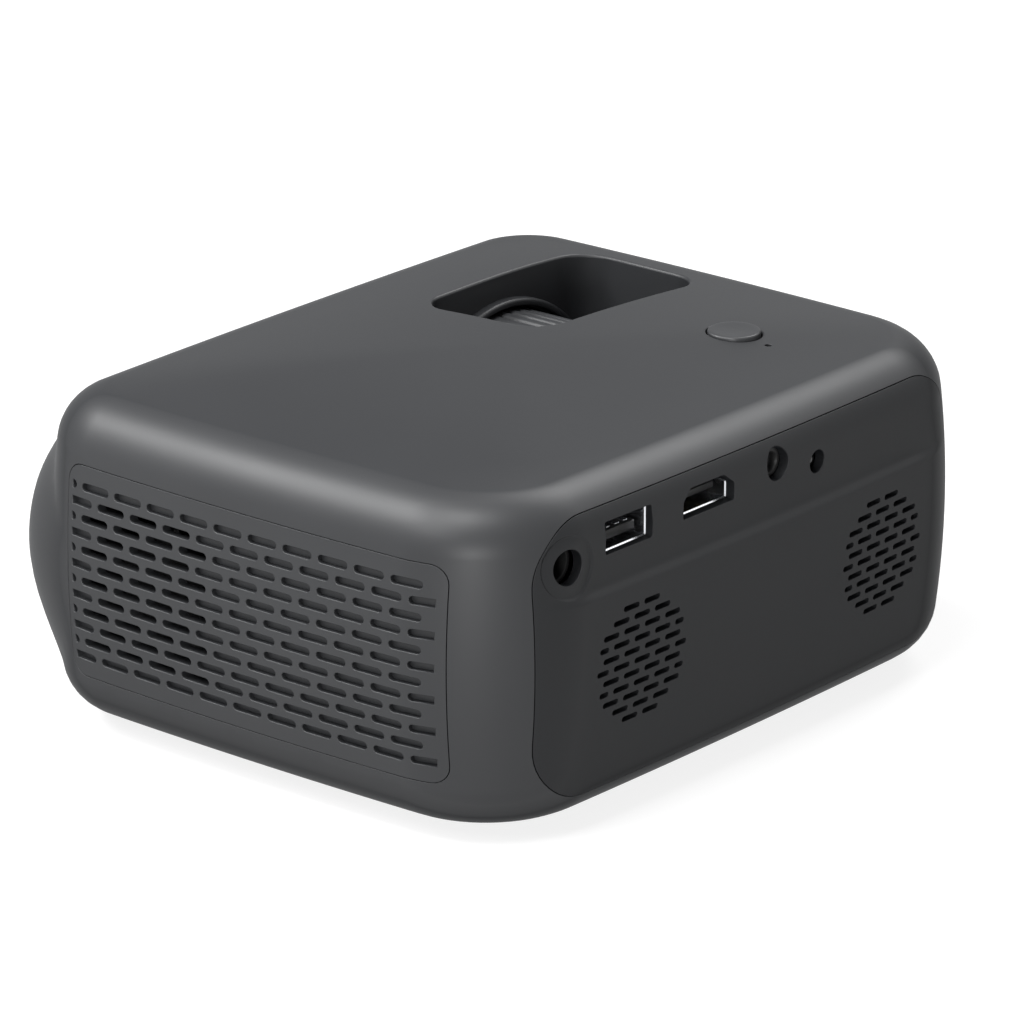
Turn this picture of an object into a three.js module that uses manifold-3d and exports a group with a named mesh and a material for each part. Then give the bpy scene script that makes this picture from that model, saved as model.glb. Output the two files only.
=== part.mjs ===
// A portable projector with a top focus well, a side fan and a rear panel of sockets and speakers.
// Millimetres. The lens looks along -Y, the sockets face +Y, and +Z is up from the table.
import * as THREE from "three";
import { mergeVertices } from "three/addons/utils/BufferGeometryUtils.js";
import Module from "manifold-3d";

const wasm = await Module();
wasm.setup();

// Clearances
const gap = 0.3;
const seam = 0.3;
const runningFit = 0.5;
const overrun = 6;

// The case: a rounded box whose walls belly out at mid height
const body = {
  halfWidth: 77.2,
  rear: 68.15,
  front: -58.15,
  base: 2,
  topEdge: 66.75,
  crown: 3.2,
  wall: 2.2,
  rearCorner: 26.7,
  frontCorner: 20.1,
  topRound: 10,
  baseRound: 9.4,
  belly: 2.9,
  sideSweep: 2.3,
  endSweep: 2,
};
const midY = (body.rear + body.front) / 2;
const halfDepth = (body.rear - body.front) / 2;
const midZ = (body.topEdge + body.base) / 2;
const halfHeight = (body.topEdge - body.base) / 2;
const fine = { corner: 5, side: 2, rear: 3, front: 10, round: 4, wall: 6, crown: 1 };
const flank = { corner: 5, side: 2, rear: 3, front: 1, round: 4, wall: 3, crown: 1 };
const coarse = { corner: 4, side: 2, rear: 2, front: 6, round: 2, wall: 3, crown: 1 };

// The swelling of the front wall round the lens
const muzzle = { depth: 10, halfHeight: 31.8, drop: 3.6, blend: 20.7 };
const muzzleRiseShare = 0.71;

// The lens and the ribbed ring that focuses it
const lens = { x: -34.3, drop: 0.275 };
lens.z = midZ - lens.drop;
const ring = {
  radius: 26.8,
  front: -38,
  rear: 3.6,
  ribs: 60,
  ribDepth: 0.8,
  land: 4,
  relief: 23.6,
  sides: 24,
};
const ribCrestShare = 0.62;
const focus = { turn: (40 * Math.PI) / 180, travel: 3, spare: (4 * Math.PI) / 180 };
const mount = { radius: 21, bore: 19.1, front: -46, shoulder: 24.5, flangeRear: 9.6 };
const retainerRing = { radius: 24, thickness: 1.6 };
const barrel = { wall: 2.4, front: -58, rear: -8, seat: -31, seatWidth: 2, lip: 1.9, sides: 24 };
const camPin = { radius: 1.5, y: -25, reach: 1.7, root: 1.8 };
const driveRib = { width: 1.5 };
const glass = {
  frontEdge: 6.7,
  frontSag: 3.5,
  hollow: 1.5,
  middleEdge: 5.7,
  rearEdge: 6.2,
  rearSag: 2,
  backSag: 1.1,
};
const spacer = { wall: 1.5, length: 7.3 };
const clampRing = { wall: 1.9, thickness: 2.6 };
const bezel = { radius: 21.4, front: -68.1, rear: -58.6, throat: 19.4, mouth: 20.4, land: 3 };

// The finger well over the ring
const well = {
  x: -35.35,
  halfWidth: 25.95,
  front: -26.9,
  rear: 4.3,
  corner: 7.5,
  wall: 2,
  draft: 0.8,
  depth: 20,
};
const collar = { clearance: 0.9, width: 1.5, proud: 2.2 };

// Inserts in the case walls
const frontPanel = { sideRim: 14.2, halfHeight: 24.5, drop: 1, corner: 24.4, cut: 11 };
frontPanel.halfWidth = body.halfWidth - frontPanel.sideRim;
const rearPanel = { sideRim: 14.4, bottomRim: 5.5, topRim: 3.85, corner: 11.5, cut: 15 };
rearPanel.halfWidth = body.halfWidth - rearPanel.sideRim;
rearPanel.bottom = body.base + rearPanel.bottomRim;
rearPanel.top = body.topEdge - rearPanel.topRim;
const vent = {
  y: 4.7,
  halfLength: 46.55,
  halfHeight: 21.4,
  corner: 3.7,
  cut: 10,
  rows: 12,
  columns: 10,
  pitch: 8.6,
  rowPitch: 3.14,
  slotLength: 7,
  slotHeight: 1.5,
  patternY: 4.4,
  patternLow: 44.9,
  patternHigh: 44.7,
  shortest: 1,
  pocket: 1.2,
  openReach: 14,
};
const cover = { rim: 1.9, corner: 9 };

// Fan, filter and heat sink
const fan = {
  y: -21.4,
  side: 40,
  depth: 10.3,
  bore: 19,
  screwReach: 16,
  screwHole: 2.15,
  peg: 1.75,
  pegLength: 7,
  spider: 1.5,
  strut: 2,
  hub: 10.5,
  cupWall: 1.4,
  bearing: 3,
  bearingLength: 4.4,
  axle: 1.3,
  blades: 7,
  bladeReach: 18.3,
  bladeChord: 8.6,
  bladeThickness: 0.9,
  wallDrop: 3.4,
};
const bladePitch = (42 * Math.PI) / 180;
const filter = { halfLength: 19, halfHeight: 17, thickness: 4, wallDrop: 2.5 };
const sink = {
  front: -33,
  rearRoom: 22.15,
  bottom: 13.6,
  topRoom: 9.75,
  base: 3.4,
  fins: 10,
  fin: 1.2,
  fanGap: 1,
};
sink.rear = body.rear - sink.rearRoom;
sink.top = body.topEdge - sink.topRoom;

// The light engine
const engine = {
  left: -50.5,
  right: 26,
  front: 9.9,
  rearRoom: 18.15,
  bottom: 9,
  topRoom: 10.75,
  wall: 2,
  lid: 1.8,
  lensHole: 17,
  lampHole: 15.3,
  axisY: 30,
};
engine.rear = body.rear - engine.rearRoom;
engine.top = body.topEdge - engine.topRoom;
const plate = { halfWidth: 17.6, headroom: 2.6, thickness: 1.6, rib: 1.6, ribReach: 1.4, inset: 0.3 };
plate.top = engine.top - plate.headroom;
const plateXs = { field: -9, panel: -1, collimator: 8 };
const mirror = { length: 30, thickness: 1.6, top: plate.top };
const condenser = { edge: 2.6, sag: 6, setBack: 2.2, sides: 20 };
const lamp = { half: 17, thickness: 1.6, emitter: 6, emitterHeight: 1.4 };

// Boards
const board = {
  leftRoom: 17.2,
  rightRoom: 15.2,
  front: 9.2,
  rearRoom: 10.15,
  chamfer: 6,
  drop: 6.55,
  thickness: 1.6,
};
board.left = board.leftRoom - body.halfWidth;
board.right = body.halfWidth - board.rightRoom;
board.rear = body.rear - board.rearRoom;
const boardPost = { radius: 3, pilot: 1.5, depth: 2, screw: 1.1, head: 2.4, headHeight: 1.2 };
const postInset = { left: 7, right: 6, front: 5.8, rear: 11, inner: 33.5 };
const [postFront, postRear] = [board.front + postInset.front, board.rear - postInset.rear];
const boardPosts = [
  { x: board.left + postInset.left, y: postFront, screwed: true },
  { x: board.right - postInset.right, y: postFront, screwed: false },
  { x: board.left + postInset.left, y: postRear, screwed: false },
  { x: board.right - postInset.inner, y: postRear, screwed: true },
];
const screwedPosts = boardPosts.filter((post) => post.screwed);
const chip = { halfLength: 8, height: 1.2, x: -12, y: 28, second: 4.5, secondX: 48, secondY: 30 };
const boardPlug = { half: 9, depth: 3.2, height: 1.4 };
const powerBoard = { left: -4, right: 25, front: -44, rear: 6, lift: 8.9, thickness: 1.6 };
const powerParts = { can: 5.5, canHeight: 13, choke: 6.5, chokeHeight: 9, plug: 3, plugHeight: 4.4 };
const standoff = { radius: 2.6 };

// Sockets, placed from the middle of the case and hung from the main board
const sockets = { inset: 3.85 };
sockets.mouth = body.rear - sockets.inset;
const dataPort = { x: 38.6, width: 13.2, height: 6.2, wall: 0.5, drop: 0.6, depth: 13, margin: 0.35 };
const dataTongue = { halfWidth: 5.4, thickness: 1.8, low: 0.9, length: 11, block: 2 };
const videoPort = {
  x: 15.5,
  width: 15,
  narrow: 9.8,
  height: 5.4,
  shoulder: 2.1,
  wall: 0.5,
  drop: 0.6,
  depth: 12,
  margin: 0.35,
};
const videoTongue = { halfWidth: 5, thickness: 1.1, length: 9.5, block: 2 };
const audioJack = {
  x: -5.4,
  drop: 2.65,
  half: 2.65,
  depth: 10.7,
  nose: 2.9,
  noseLength: 3.2,
  bore: 1.8,
  hole: 3.25,
};
const powerJack = {
  x: 55,
  drop: 6.75,
  half: 4.6,
  under: 5.4,
  depth: 11.2,
  nose: 4.2,
  noseLength: 4,
  bore: 3.15,
  pin: 1,
  hole: 3.4,
  sunk: 2.7,
  boreDepth: 10,
};
powerJack.mouth = sockets.mouth - powerJack.sunk;
const receiver = {
  x: -17.7,
  drop: 5.5,
  eye: 1.7,
  eyeLength: 1.9,
  half: 2.6,
  depth: 3,
  sunk: 4.3,
  lead: 0.5,
  hole: 2.25,
};
receiver.back = sockets.mouth - receiver.sunk;
const strip = { rise: 12.525, farRim: 2.8, corner: 10, depth: 1.2, step: 0.6, spread: 1.1, ring: 6.5 };
strip.ledge = midZ + strip.rise;
strip.left = strip.farRim - rearPanel.halfWidth;

// Speakers behind the rear panel
const speaker = {
  x: 36.9,
  drop: 3.175,
  radius: 14,
  rim: 1.5,
  inset: 4.05,
  coneDepth: 5.6,
  magnet: 8.6,
  magnetDepth: 6.6,
  pitch: 5.84,
  rowPitch: 2.19,
  slotLength: 4.45,
  slotHeight: 1,
  patternRadius: 12.7,
  rows: 5,
  columns: 2,
  shortest: 1,
  wall: 1.2,
  paper: 0.5,
  sides: 18,
};
speaker.z = midZ - speaker.drop;
speaker.face = body.rear - speaker.inset;

// Button, its switch and the indicator
const button = {
  x: -35.3,
  y: 32.1,
  radius: 5.25,
  proud: 0.4,
  flange: 6.4,
  flangeThickness: 0.7,
  headroom: 0.8,
  stem: 1.5,
  travel: 0.5,
  edge: 0.35,
};
const tact = { half: 3, height: 1.6, bore: 1.9, plunger: 1.5, plungerUp: 0.35, plungerDown: 0.45 };
const indicator = { x: -34.6, y: 41, radius: 0.45, hole: 0.8 };

// Feet, screws and the tripod thread
const foot = { sideInset: 22.7, frontInset: 21.15, rearInset: 25.15, radius: 6, recess: 0.8, edge: 0.6 };
foot.x = body.halfWidth - foot.sideInset;
foot.front = body.front + foot.frontInset;
foot.rear = body.rear - foot.rearInset;
const screw = { head: 2.8, headHeight: 1.6, shank: 1.3, length: 7, pad: 7.2, padHeight: 4.3 };
const boss = { radius: 3.4, height: 6.5, web: 2.4, reach: 22 };
const tripod = { y: 20, radius: 4.8, bore: 2.6, length: 6, boss: 7, shelf: 0.8 };

// Leads inside the case
const lead = { radius: 0.7, steps: 12, sides: 6 };
const ribbon = { thickness: 0.4, halfWidth: 8, bend: 3 };

// Shape helpers

const axes = {
  x: new THREE.Matrix4().makeBasis(
    new THREE.Vector3(0, 1, 0),
    new THREE.Vector3(0, 0, 1),
    new THREE.Vector3(1, 0, 0),
  ),
  y: new THREE.Matrix4().makeBasis(
    new THREE.Vector3(1, 0, 0),
    new THREE.Vector3(0, 0, 1),
    new THREE.Vector3(0, -1, 0),
  ),
  z: new THREE.Matrix4(),
};

// A closed geometry as a solid that faces out, with shared corners merged and empty faces left out.
function solid(geometry) {
  const bare = geometry.clone();
  bare.deleteAttribute("normal");
  bare.deleteAttribute("uv");
  const merged = mergeVertices(bare);
  const corners = merged.index.array;
  const faces = [];
  for (let i = 0; i < corners.length; i += 3) {
    const [a, b, c] = [corners[i], corners[i + 1], corners[i + 2]];
    if (a !== b && b !== c && c !== a) faces.push([a, b, c]);
  }
  const build = (list) =>
    new wasm.Manifold(
      new wasm.Mesh({
        numProp: 3,
        vertProperties: new Float32Array(merged.attributes.position.array),
        triVerts: new Uint32Array(list.flat()),
      }),
    );
  const made = build(faces);
  return made.volume() < 0 ? build(faces.map(([a, b, c]) => [a, c, b])) : made;
}

function geometryOf(made) {
  const mesh = made.getMesh();
  const geometry = new THREE.BufferGeometry();
  geometry.setAttribute("position", new THREE.BufferAttribute(mesh.vertProperties, mesh.numProp));
  geometry.setIndex(new THREE.BufferAttribute(mesh.triVerts, 1));
  geometry.computeVertexNormals();
  return geometry;
}

const join = (first, ...rest) => rest.reduce((all, piece) => all.add(piece), first);
const cut = (first, ...rest) => rest.reduce((left, piece) => left.subtract(piece), first);

function block(x0, x1, y0, y1, z0, z1) {
  const box = new THREE.BoxGeometry(x1 - x0, y1 - y0, z1 - z0);
  return solid(box.translate((x0 + x1) / 2, (y0 + y1) / 2, (z0 + z1) / 2));
}

// Outlines drawn in the two axes across the given one, pushed along it.
function prism(axis, outlines, from, to) {
  const shapes = (Array.isArray(outlines[0]) ? outlines : [outlines]).map(
    (points) => new THREE.Shape(points),
  );
  const geometry = new THREE.ExtrudeGeometry(shapes, { depth: to - from, bevelEnabled: false });
  geometry.applyMatrix4(axes[axis]);
  const shift = { x: [from, 0, 0], y: [0, to, 0], z: [0, 0, from] }[axis];
  return solid(geometry.translate(...shift));
}

function circle(u, v, radius, sides = 24) {
  return Array.from({ length: sides }, (_, i) => {
    const angle = (i / sides) * 2 * Math.PI;
    return new THREE.Vector2(u + radius * Math.cos(angle), v + radius * Math.sin(angle));
  });
}

const rod = (axis, u, v, radius, from, to, sides) => prism(axis, circle(u, v, radius, sides), from, to);

function roundedRect(u0, u1, v0, v1, radius, steps = 5) {
  const corners = [
    [u1 - radius, v1 - radius],
    [u0 + radius, v1 - radius],
    [u0 + radius, v0 + radius],
    [u1 - radius, v0 + radius],
  ];
  return corners.flatMap(([u, v], corner) =>
    Array.from({ length: steps + 1 }, (_, i) => {
      const angle = ((corner + i / steps) * Math.PI) / 2;
      return new THREE.Vector2(u + radius * Math.cos(angle), v + radius * Math.sin(angle));
    }),
  );
}

// A slot from u0 to u1 with pointed ends.
function slot(u0, u1, v, half) {
  return [
    [u0, v],
    [u0 + half, v - half],
    [u1 - half, v - half],
    [u1, v],
    [u1 - half, v + half],
    [u0 + half, v + half],
  ].map(([a, b]) => new THREE.Vector2(a, b));
}

const rectangle = (u0, u1, v, half) =>
  [
    [u0, v - half],
    [u1, v - half],
    [u1, v + half],
    [u0, v + half],
  ].map(([a, b]) => new THREE.Vector2(a, b));

// A profile of [radius, height] points turned about the Y axis.
function turned(profile, sides = 32) {
  const closed = profile[0][0] === 0 ? profile : [...profile, profile[0]];
  return solid(new THREE.LatheGeometry(closed.map(([r, y]) => new THREE.Vector2(r, y)), sides));
}

// A closed skin through rings of equal count, fanned shut at both ends.
function loft(rings) {
  const count = rings[0].length;
  const points = rings.flat();
  const ends = [rings[0], rings[rings.length - 1]].map((ringPoints) =>
    ringPoints.reduce((sum, p) => sum.add(p), new THREE.Vector3()).divideScalar(count),
  );
  const [first, last] = [points.length, points.length + 1];
  const positions = [...points, ...ends].flatMap((p) => [p.x, p.y, p.z]);
  const faces = [];
  for (let i = 0; i < count; i += 1) {
    const next = (i + 1) % count;
    for (let r = 0; r + 1 < rings.length; r += 1) {
      const [a, b] = [r * count + i, r * count + next];
      faces.push(a, b, b + count, a, b + count, a + count);
    }
    const top = (rings.length - 1) * count;
    faces.push(first, next, i, last, top + i, top + next);
  }
  const geometry = new THREE.BufferGeometry();
  geometry.setAttribute("position", new THREE.Float32BufferAttribute(positions, 3));
  geometry.setIndex(faces);
  return solid(geometry);
}

const smooth = (t) => {
  const held = Math.min(Math.max(t, 0), 1);
  return held * held * (3 - 2 * held);
};

// The case skin

// Plan outline of the case drawn in by an inset, anticlockwise from the rear of the +X side.
function planOutline(inset, detail) {
  const corners = [
    { sx: 1, sy: 1, radius: body.rearCorner, straight: detail.rear },
    { sx: -1, sy: 1, radius: body.rearCorner, straight: detail.side },
    { sx: -1, sy: -1, radius: body.frontCorner, straight: detail.front },
    { sx: 1, sy: -1, radius: body.frontCorner, straight: detail.side },
  ];
  const arcs = corners.map(({ sx, sy, radius }, corner) => {
    const x = sx * (body.halfWidth - radius);
    const y = sy > 0 ? body.rear - radius : body.front + radius;
    return Array.from({ length: detail.corner + 1 }, (_, i) => {
      const angle = ((corner + i / detail.corner) * Math.PI) / 2;
      const [nx, ny] = [Math.cos(angle), Math.sin(angle)];
      return { x: x + (radius - inset) * nx, y: y + (radius - inset) * ny, nx, ny };
    });
  });
  return arcs.flatMap((arc, corner) => {
    const from = arc[arc.length - 1];
    const to = arcs[(corner + 1) % 4][0];
    const count = corners[corner].straight;
    const line = Array.from({ length: count - 1 }, (_, i) => {
      const t = (i + 1) / count;
      return { ...from, x: from.x + (to.x - from.x) * t, y: from.y + (to.y - from.y) * t };
    });
    return [...arc, ...line];
  });
}

// How far the front swells at a place: a stadium as wide as the case, rounded over its blend.
function muzzleRise(x, z) {
  const reach = body.halfWidth - muzzle.halfHeight;
  const across = Math.max(Math.abs(x) - reach, 0);
  const inside = muzzle.halfHeight - Math.hypot(across, z - midZ + muzzle.drop);
  return muzzle.depth * smooth(inside / muzzle.blend) ** muzzleRiseShare;
}

function skinRing(z, draw, detail) {
  const inset = draw + body.belly * ((z - midZ) / halfHeight) ** 2;
  return planOutline(inset, detail).map(({ x, y, ny }) => {
    const side = body.sideSweep * ((y - midY) / halfDepth) ** 2 * (Math.abs(x) / body.halfWidth) ** 3;
    const end = body.endSweep * (x / body.halfWidth) ** 2 * (Math.abs(y - midY) / halfDepth) ** 3;
    const rise = muzzleRise(x, z) * Math.min(Math.max(-3 * ny, 0), 1);
    return new THREE.Vector3(x - Math.sign(x) * side, y - Math.sign(y - midY) * end - rise, z);
  });
}

// The case's surface moved inwards by an inset, as one closed solid.
function skin(inset, detail) {
  const low = body.baseRound - inset;
  const high = body.topRound - inset;
  const rings = [];
  for (let i = 0; i <= detail.round; i += 1) {
    const angle = ((i / detail.round) * Math.PI) / 2;
    const z = body.base + body.baseRound - low * Math.cos(angle);
    rings.push(skinRing(z, body.baseRound - low * Math.sin(angle), detail));
  }
  const wallFrom = body.base + body.baseRound;
  const wallTo = body.topEdge - body.topRound;
  for (let i = 1; i < detail.wall; i += 1) {
    rings.push(skinRing(wallFrom + ((wallTo - wallFrom) * i) / detail.wall, inset, detail));
  }
  for (let i = 0; i <= detail.round; i += 1) {
    const angle = ((i / detail.round) * Math.PI) / 2;
    const z = wallTo + high * Math.sin(angle);
    rings.push(skinRing(z, body.topRound - high * Math.cos(angle), detail));
  }
  const edge = rings[rings.length - 1];
  for (let i = 1; i <= detail.crown; i += 1) {
    const share = (i / (detail.crown + 1)) ** 1.5;
    const lift = body.crown * (1 - (1 - share) ** 2);
    rings.push(edge.map((p) => new THREE.Vector3(p.x * (1 - share), p.y + (midY - p.y) * share, p.z + lift)));
  }
  rings.push(edge.map((p) => new THREE.Vector3(p.x / 1e3, midY + (p.y - midY) / 1e3, p.z + body.crown)));
  return loft(rings);
}

const outer = skin(0, fine);
const inner = skin(body.wall, coarse);
const shell = outer.subtract(inner);
const flankShell = skin(0, flank).subtract(inner);
const outside = (made, depth) => made.subtract(skin(depth, flank));

// Heights of the case's top surface, for what passes through it.
function topAt(x, y) {
  const edgeX = body.halfWidth - body.topRound - body.belly;
  const edgeY = halfDepth - body.topRound - body.belly;
  const share = 1 - Math.max(Math.abs(x) / edgeX, Math.abs(y - midY) / edgeY);
  return body.topEdge + body.crown * (1 - (1 - share) ** 2);
}

// Outer face of a side wall, swept in along its length, bellied in height and round at its corners.
function sideFace(y, z = midZ) {
  const radius = y > midY ? body.rearCorner : body.frontCorner;
  const into = Math.max(Math.abs(y - midY) - halfDepth + radius, 0);
  const round = radius - Math.sqrt(radius ** 2 - into ** 2);
  const sweep = body.sideSweep * ((y - midY) / halfDepth) ** 2;
  return body.halfWidth - sweep - round - body.belly * ((z - midZ) / halfHeight) ** 2;
}

// Levels that several pieces share
const boardUnder = body.topEdge - board.drop;
const boardTop = boardUnder + board.thickness;
const coverTop = body.base + body.wall;
const collarBore = ring.radius + collar.clearance;
const ringBore = mount.radius + runningFit;
const barrelRadius = mount.bore - runningFit;
const barrelBore = barrelRadius - barrel.wall;
const lensRadius = barrelBore - gap;
const fanOuter = sideFace(fan.y) - body.wall - fan.wallDrop;
const fanInner = fanOuter - fan.depth;
const plateFloor = engine.bottom + engine.wall + gap;

// Case pieces

const ventOutline = (grow) =>
  roundedRect(
    vent.y - vent.halfLength - grow,
    vent.y + vent.halfLength + grow,
    lens.z - vent.halfHeight - grow,
    lens.z + vent.halfHeight + grow,
    vent.corner + grow,
    3,
  );

const rearOutline = (grow) =>
  roundedRect(
    -rearPanel.halfWidth - grow,
    rearPanel.halfWidth + grow,
    rearPanel.bottom - grow,
    rearPanel.top + grow,
    rearPanel.corner + grow,
  );

const frontOutline = (grow) =>
  roundedRect(
    -frontPanel.halfWidth - grow,
    frontPanel.halfWidth + grow,
    lens.z - frontPanel.drop - frontPanel.halfHeight - grow,
    lens.z - frontPanel.drop + frontPanel.halfHeight + grow,
    frontPanel.corner + grow,
    7,
  );

const coverInset = body.belly + body.baseRound + cover.rim;
const coverOutline = (grow) =>
  roundedRect(
    -body.halfWidth + coverInset - grow,
    body.halfWidth - coverInset + grow,
    body.front + coverInset - grow,
    body.rear - coverInset + grow,
    cover.corner + grow,
  );

const sideSlab = (side, outline) => {
  const [near, far] = [body.halfWidth - vent.cut, body.halfWidth + overrun];
  return side > 0 ? prism("x", outline, near, far) : prism("x", outline, -far, -near);
};
const rearSlab = (grow) => prism("y", rearOutline(grow), body.rear - rearPanel.cut, body.rear + overrun);
const frontSlab = (grow) =>
  prism(
    "y",
    frontOutline(grow),
    body.front - muzzle.depth - overrun,
    body.front - muzzle.depth + frontPanel.cut,
  );

// The well's space, or that space grown by its wall, drawn in towards its foot.
function wellBlock(grow, below) {
  const ringAt = (z, inset) =>
    roundedRect(
      well.x - well.halfWidth + inset - grow,
      well.x + well.halfWidth - inset + grow,
      well.front + inset - grow,
      well.rear - inset + grow,
      well.corner - inset + grow,
      4,
    ).map((p) => new THREE.Vector3(p.x, p.y, z));
  const foot = body.topEdge - well.depth;
  return loft([
    ringAt(foot - below, well.draft),
    ringAt(foot, well.draft),
    ringAt(body.topEdge, 0),
    ringAt(body.topEdge + body.crown + overrun, 0),
  ]);
}

const footPlaces = [
  { x: -foot.x, y: foot.front },
  { x: foot.x, y: foot.front },
  { x: -foot.x, y: foot.rear },
  { x: foot.x, y: foot.rear },
];
const padTop = body.base + screw.padHeight;
const screwSeat = body.base + foot.recess + gap + screw.headHeight;

// A screw boss in a bottom corner, webbed out to the wall.
function cornerBoss({ x, y }) {
  const [from, to] = [padTop + gap, padTop + gap + boss.height];
  const post = rod("z", x, y, boss.radius, from, to, 10);
  const out = Math.sign(x);
  const web = block(
    Math.min(x, x + out * boss.reach),
    Math.max(x, x + out * boss.reach),
    y - boss.web / 2,
    y + boss.web / 2,
    from,
    to,
  );
  return join(post, web.intersect(skin(body.wall / 2, coarse)));
}

function mainHousing() {
  const tub = cut(wellBlock(well.wall, 0), wellBlock(0, overrun)).intersect(skin(body.wall / 2, coarse));
  const collarRing = cut(
    rod("y", lens.x, lens.z, collarBore + collar.width, well.front - gap, well.front + collar.proud, 44),
    rod("y", lens.x, lens.z, collarBore, well.front - overrun, well.front + overrun, 44),
  ).intersect(wellBlock(gap, overrun));
  const posts = boardPosts.map(({ x, y }) =>
    rod("z", x, y, boardPost.radius, boardTop + gap, body.topEdge + body.crown, 10).intersect(
      skin(body.wall / 2, coarse),
    ),
  );
  const pilots = screwedPosts.map(({ x, y }) =>
    rod("z", x, y, boardPost.pilot, boardTop, boardTop + gap + boardPost.depth, 8),
  );
  const bosses = footPlaces.map(cornerBoss);
  const holes = footPlaces.map(({ x, y }) =>
    rod("z", x, y, screw.shank + gap, padTop, screwSeat + screw.length + gap, 8),
  );
  return cut(
    join(cut(shell, wellBlock(0, overrun)), tub, collarRing, ...posts, ...bosses),
    ...pilots,
    ...holes,
    rod(
      "y",
      lens.x,
      lens.z,
      collarBore,
      well.front - well.wall - overrun,
      well.rear + well.wall + overrun,
      44,
    ),
    rearSlab(seam),
    frontSlab(seam),
    sideSlab(1, ventOutline(seam)),
    sideSlab(-1, ventOutline(seam)),
    prism("z", coverOutline(seam), body.base - overrun, coverTop + gap),
    rod("z", button.x, button.y, button.radius + gap, boardTop, body.topEdge + body.crown + overrun, 28),
    rod("z", indicator.x, indicator.y, indicator.hole, boardTop, body.topEdge + body.crown + overrun, 10),
  );
}

// Under the cover's own corners the feet hide the screws that hold it.
function bottomCover() {
  const plateSolid = prism("z", coverOutline(0), body.base, coverTop);
  const padRoom = prism("z", coverOutline(0), body.base, padTop);
  const pads = footPlaces.map(({ x, y }) =>
    rod("z", x, y, screw.pad, body.base, padTop, 12).intersect(padRoom),
  );
  const recesses = footPlaces.flatMap(({ x, y }) => [
    rod("z", x, y, foot.radius + gap, body.base - overrun, body.base + foot.recess, 16),
    rod("z", x, y, screw.head + gap, body.base, screwSeat + gap, 10),
    rod("z", x, y, screw.shank + gap, body.base, padTop + overrun, 8),
  ]);
  const engineXs = [engine.left + standoff.radius * 2, engine.right - standoff.radius * 2];
  const engineYs = [engine.front + standoff.radius * 2, engine.rear - standoff.radius * 2];
  const enginePosts = engineXs.flatMap((x) =>
    engineYs.map((y) => rod("z", x, y, standoff.radius, body.base + gap, engine.bottom - gap, 8)),
  );
  const boardXs = [powerBoard.left + standoff.radius, powerBoard.right - standoff.radius];
  const boardYs = [powerBoard.front + standoff.radius, powerBoard.rear - standoff.radius];
  const boardPads = boardXs.flatMap((x) =>
    boardYs.map((y) => rod("z", x, y, standoff.radius, body.base + gap, powerBoard.lift - gap, 8)),
  );
  const sinkX = (engine.right + fanInner) / 2;
  const sinkPads = [sink.front + standoff.radius * 2, (sink.front + sink.rear) / 2].map((y) =>
    rod("z", sinkX, y, standoff.radius, body.base + gap, sink.bottom - gap, 8),
  );
  const threadBoss = rod("z", 0, tripod.y, tripod.boss, body.base + gap, engine.bottom - gap, 20);
  const threadTop = body.base + gap + tripod.length;
  return cut(
    join(plateSolid, ...pads, ...enginePosts, ...boardPads, ...sinkPads, threadBoss),
    ...recesses,
    rod("z", 0, tripod.y, tripod.radius + gap, body.base - overrun, threadTop + gap, 20),
  );
}

function frontCover() {
  return cut(
    shell.intersect(frontSlab(0)),
    rod(
      "y",
      lens.x,
      lens.z,
      bezel.radius + gap,
      body.front - muzzle.depth - overrun,
      body.front + overrun,
      48,
    ),
  );
}

// Slots of one speaker, cut off at the edge of their circle.
function speakerSlots(centre) {
  const slots = [];
  for (let row = -speaker.rows; row <= speaker.rows; row += 1) {
    const v = row * speaker.rowPitch;
    const chord = Math.sqrt(speaker.patternRadius ** 2 - v ** 2);
    const stagger = row % 2 ? 0.5 : 0;
    for (let column = -speaker.columns - stagger; column <= speaker.columns + stagger; column += 1) {
      const u = column * speaker.pitch;
      const from = Math.max(u - speaker.slotLength / 2, -chord);
      const to = Math.min(u + speaker.slotLength / 2, chord);
      if (to - from < speaker.shortest) continue;
      slots.push(rectangle(centre + from, centre + to, speaker.z + v, speaker.slotHeight / 2));
    }
  }
  return slots;
}

// The strip that the sockets sit in: sunk, with a round end and a ring round the power socket.
function stripOutline(grow) {
  return roundedRect(
    strip.left - grow,
    rearPanel.halfWidth + overrun,
    strip.ledge - grow,
    rearPanel.top + overrun,
    strip.corner + grow,
  );
}

function socketHoles() {
  const [from, to] = [sockets.mouth - overrun, body.rear + overrun];
  const dataZ = boardUnder - dataPort.drop - dataPort.height / 2;
  return [
    prism(
      "y",
      roundedRect(
        dataPort.x - dataPort.width / 2 - dataPort.margin,
        dataPort.x + dataPort.width / 2 + dataPort.margin,
        dataZ - dataPort.height / 2 - dataPort.margin,
        dataZ + dataPort.height / 2 + dataPort.margin,
        dataPort.margin,
        1,
      ),
      from,
      to,
    ),
    prism("y", videoOutline(videoPort.margin), from, to),
    rod("y", audioJack.x, boardUnder - audioJack.drop, audioJack.hole, from, to, 20),
    rod("y", powerJack.x, boardUnder - powerJack.drop, powerJack.hole, from - overrun, to, 20),
    rod("y", receiver.x, boardUnder - receiver.drop, receiver.hole, from, to, 16),
  ];
}

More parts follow.
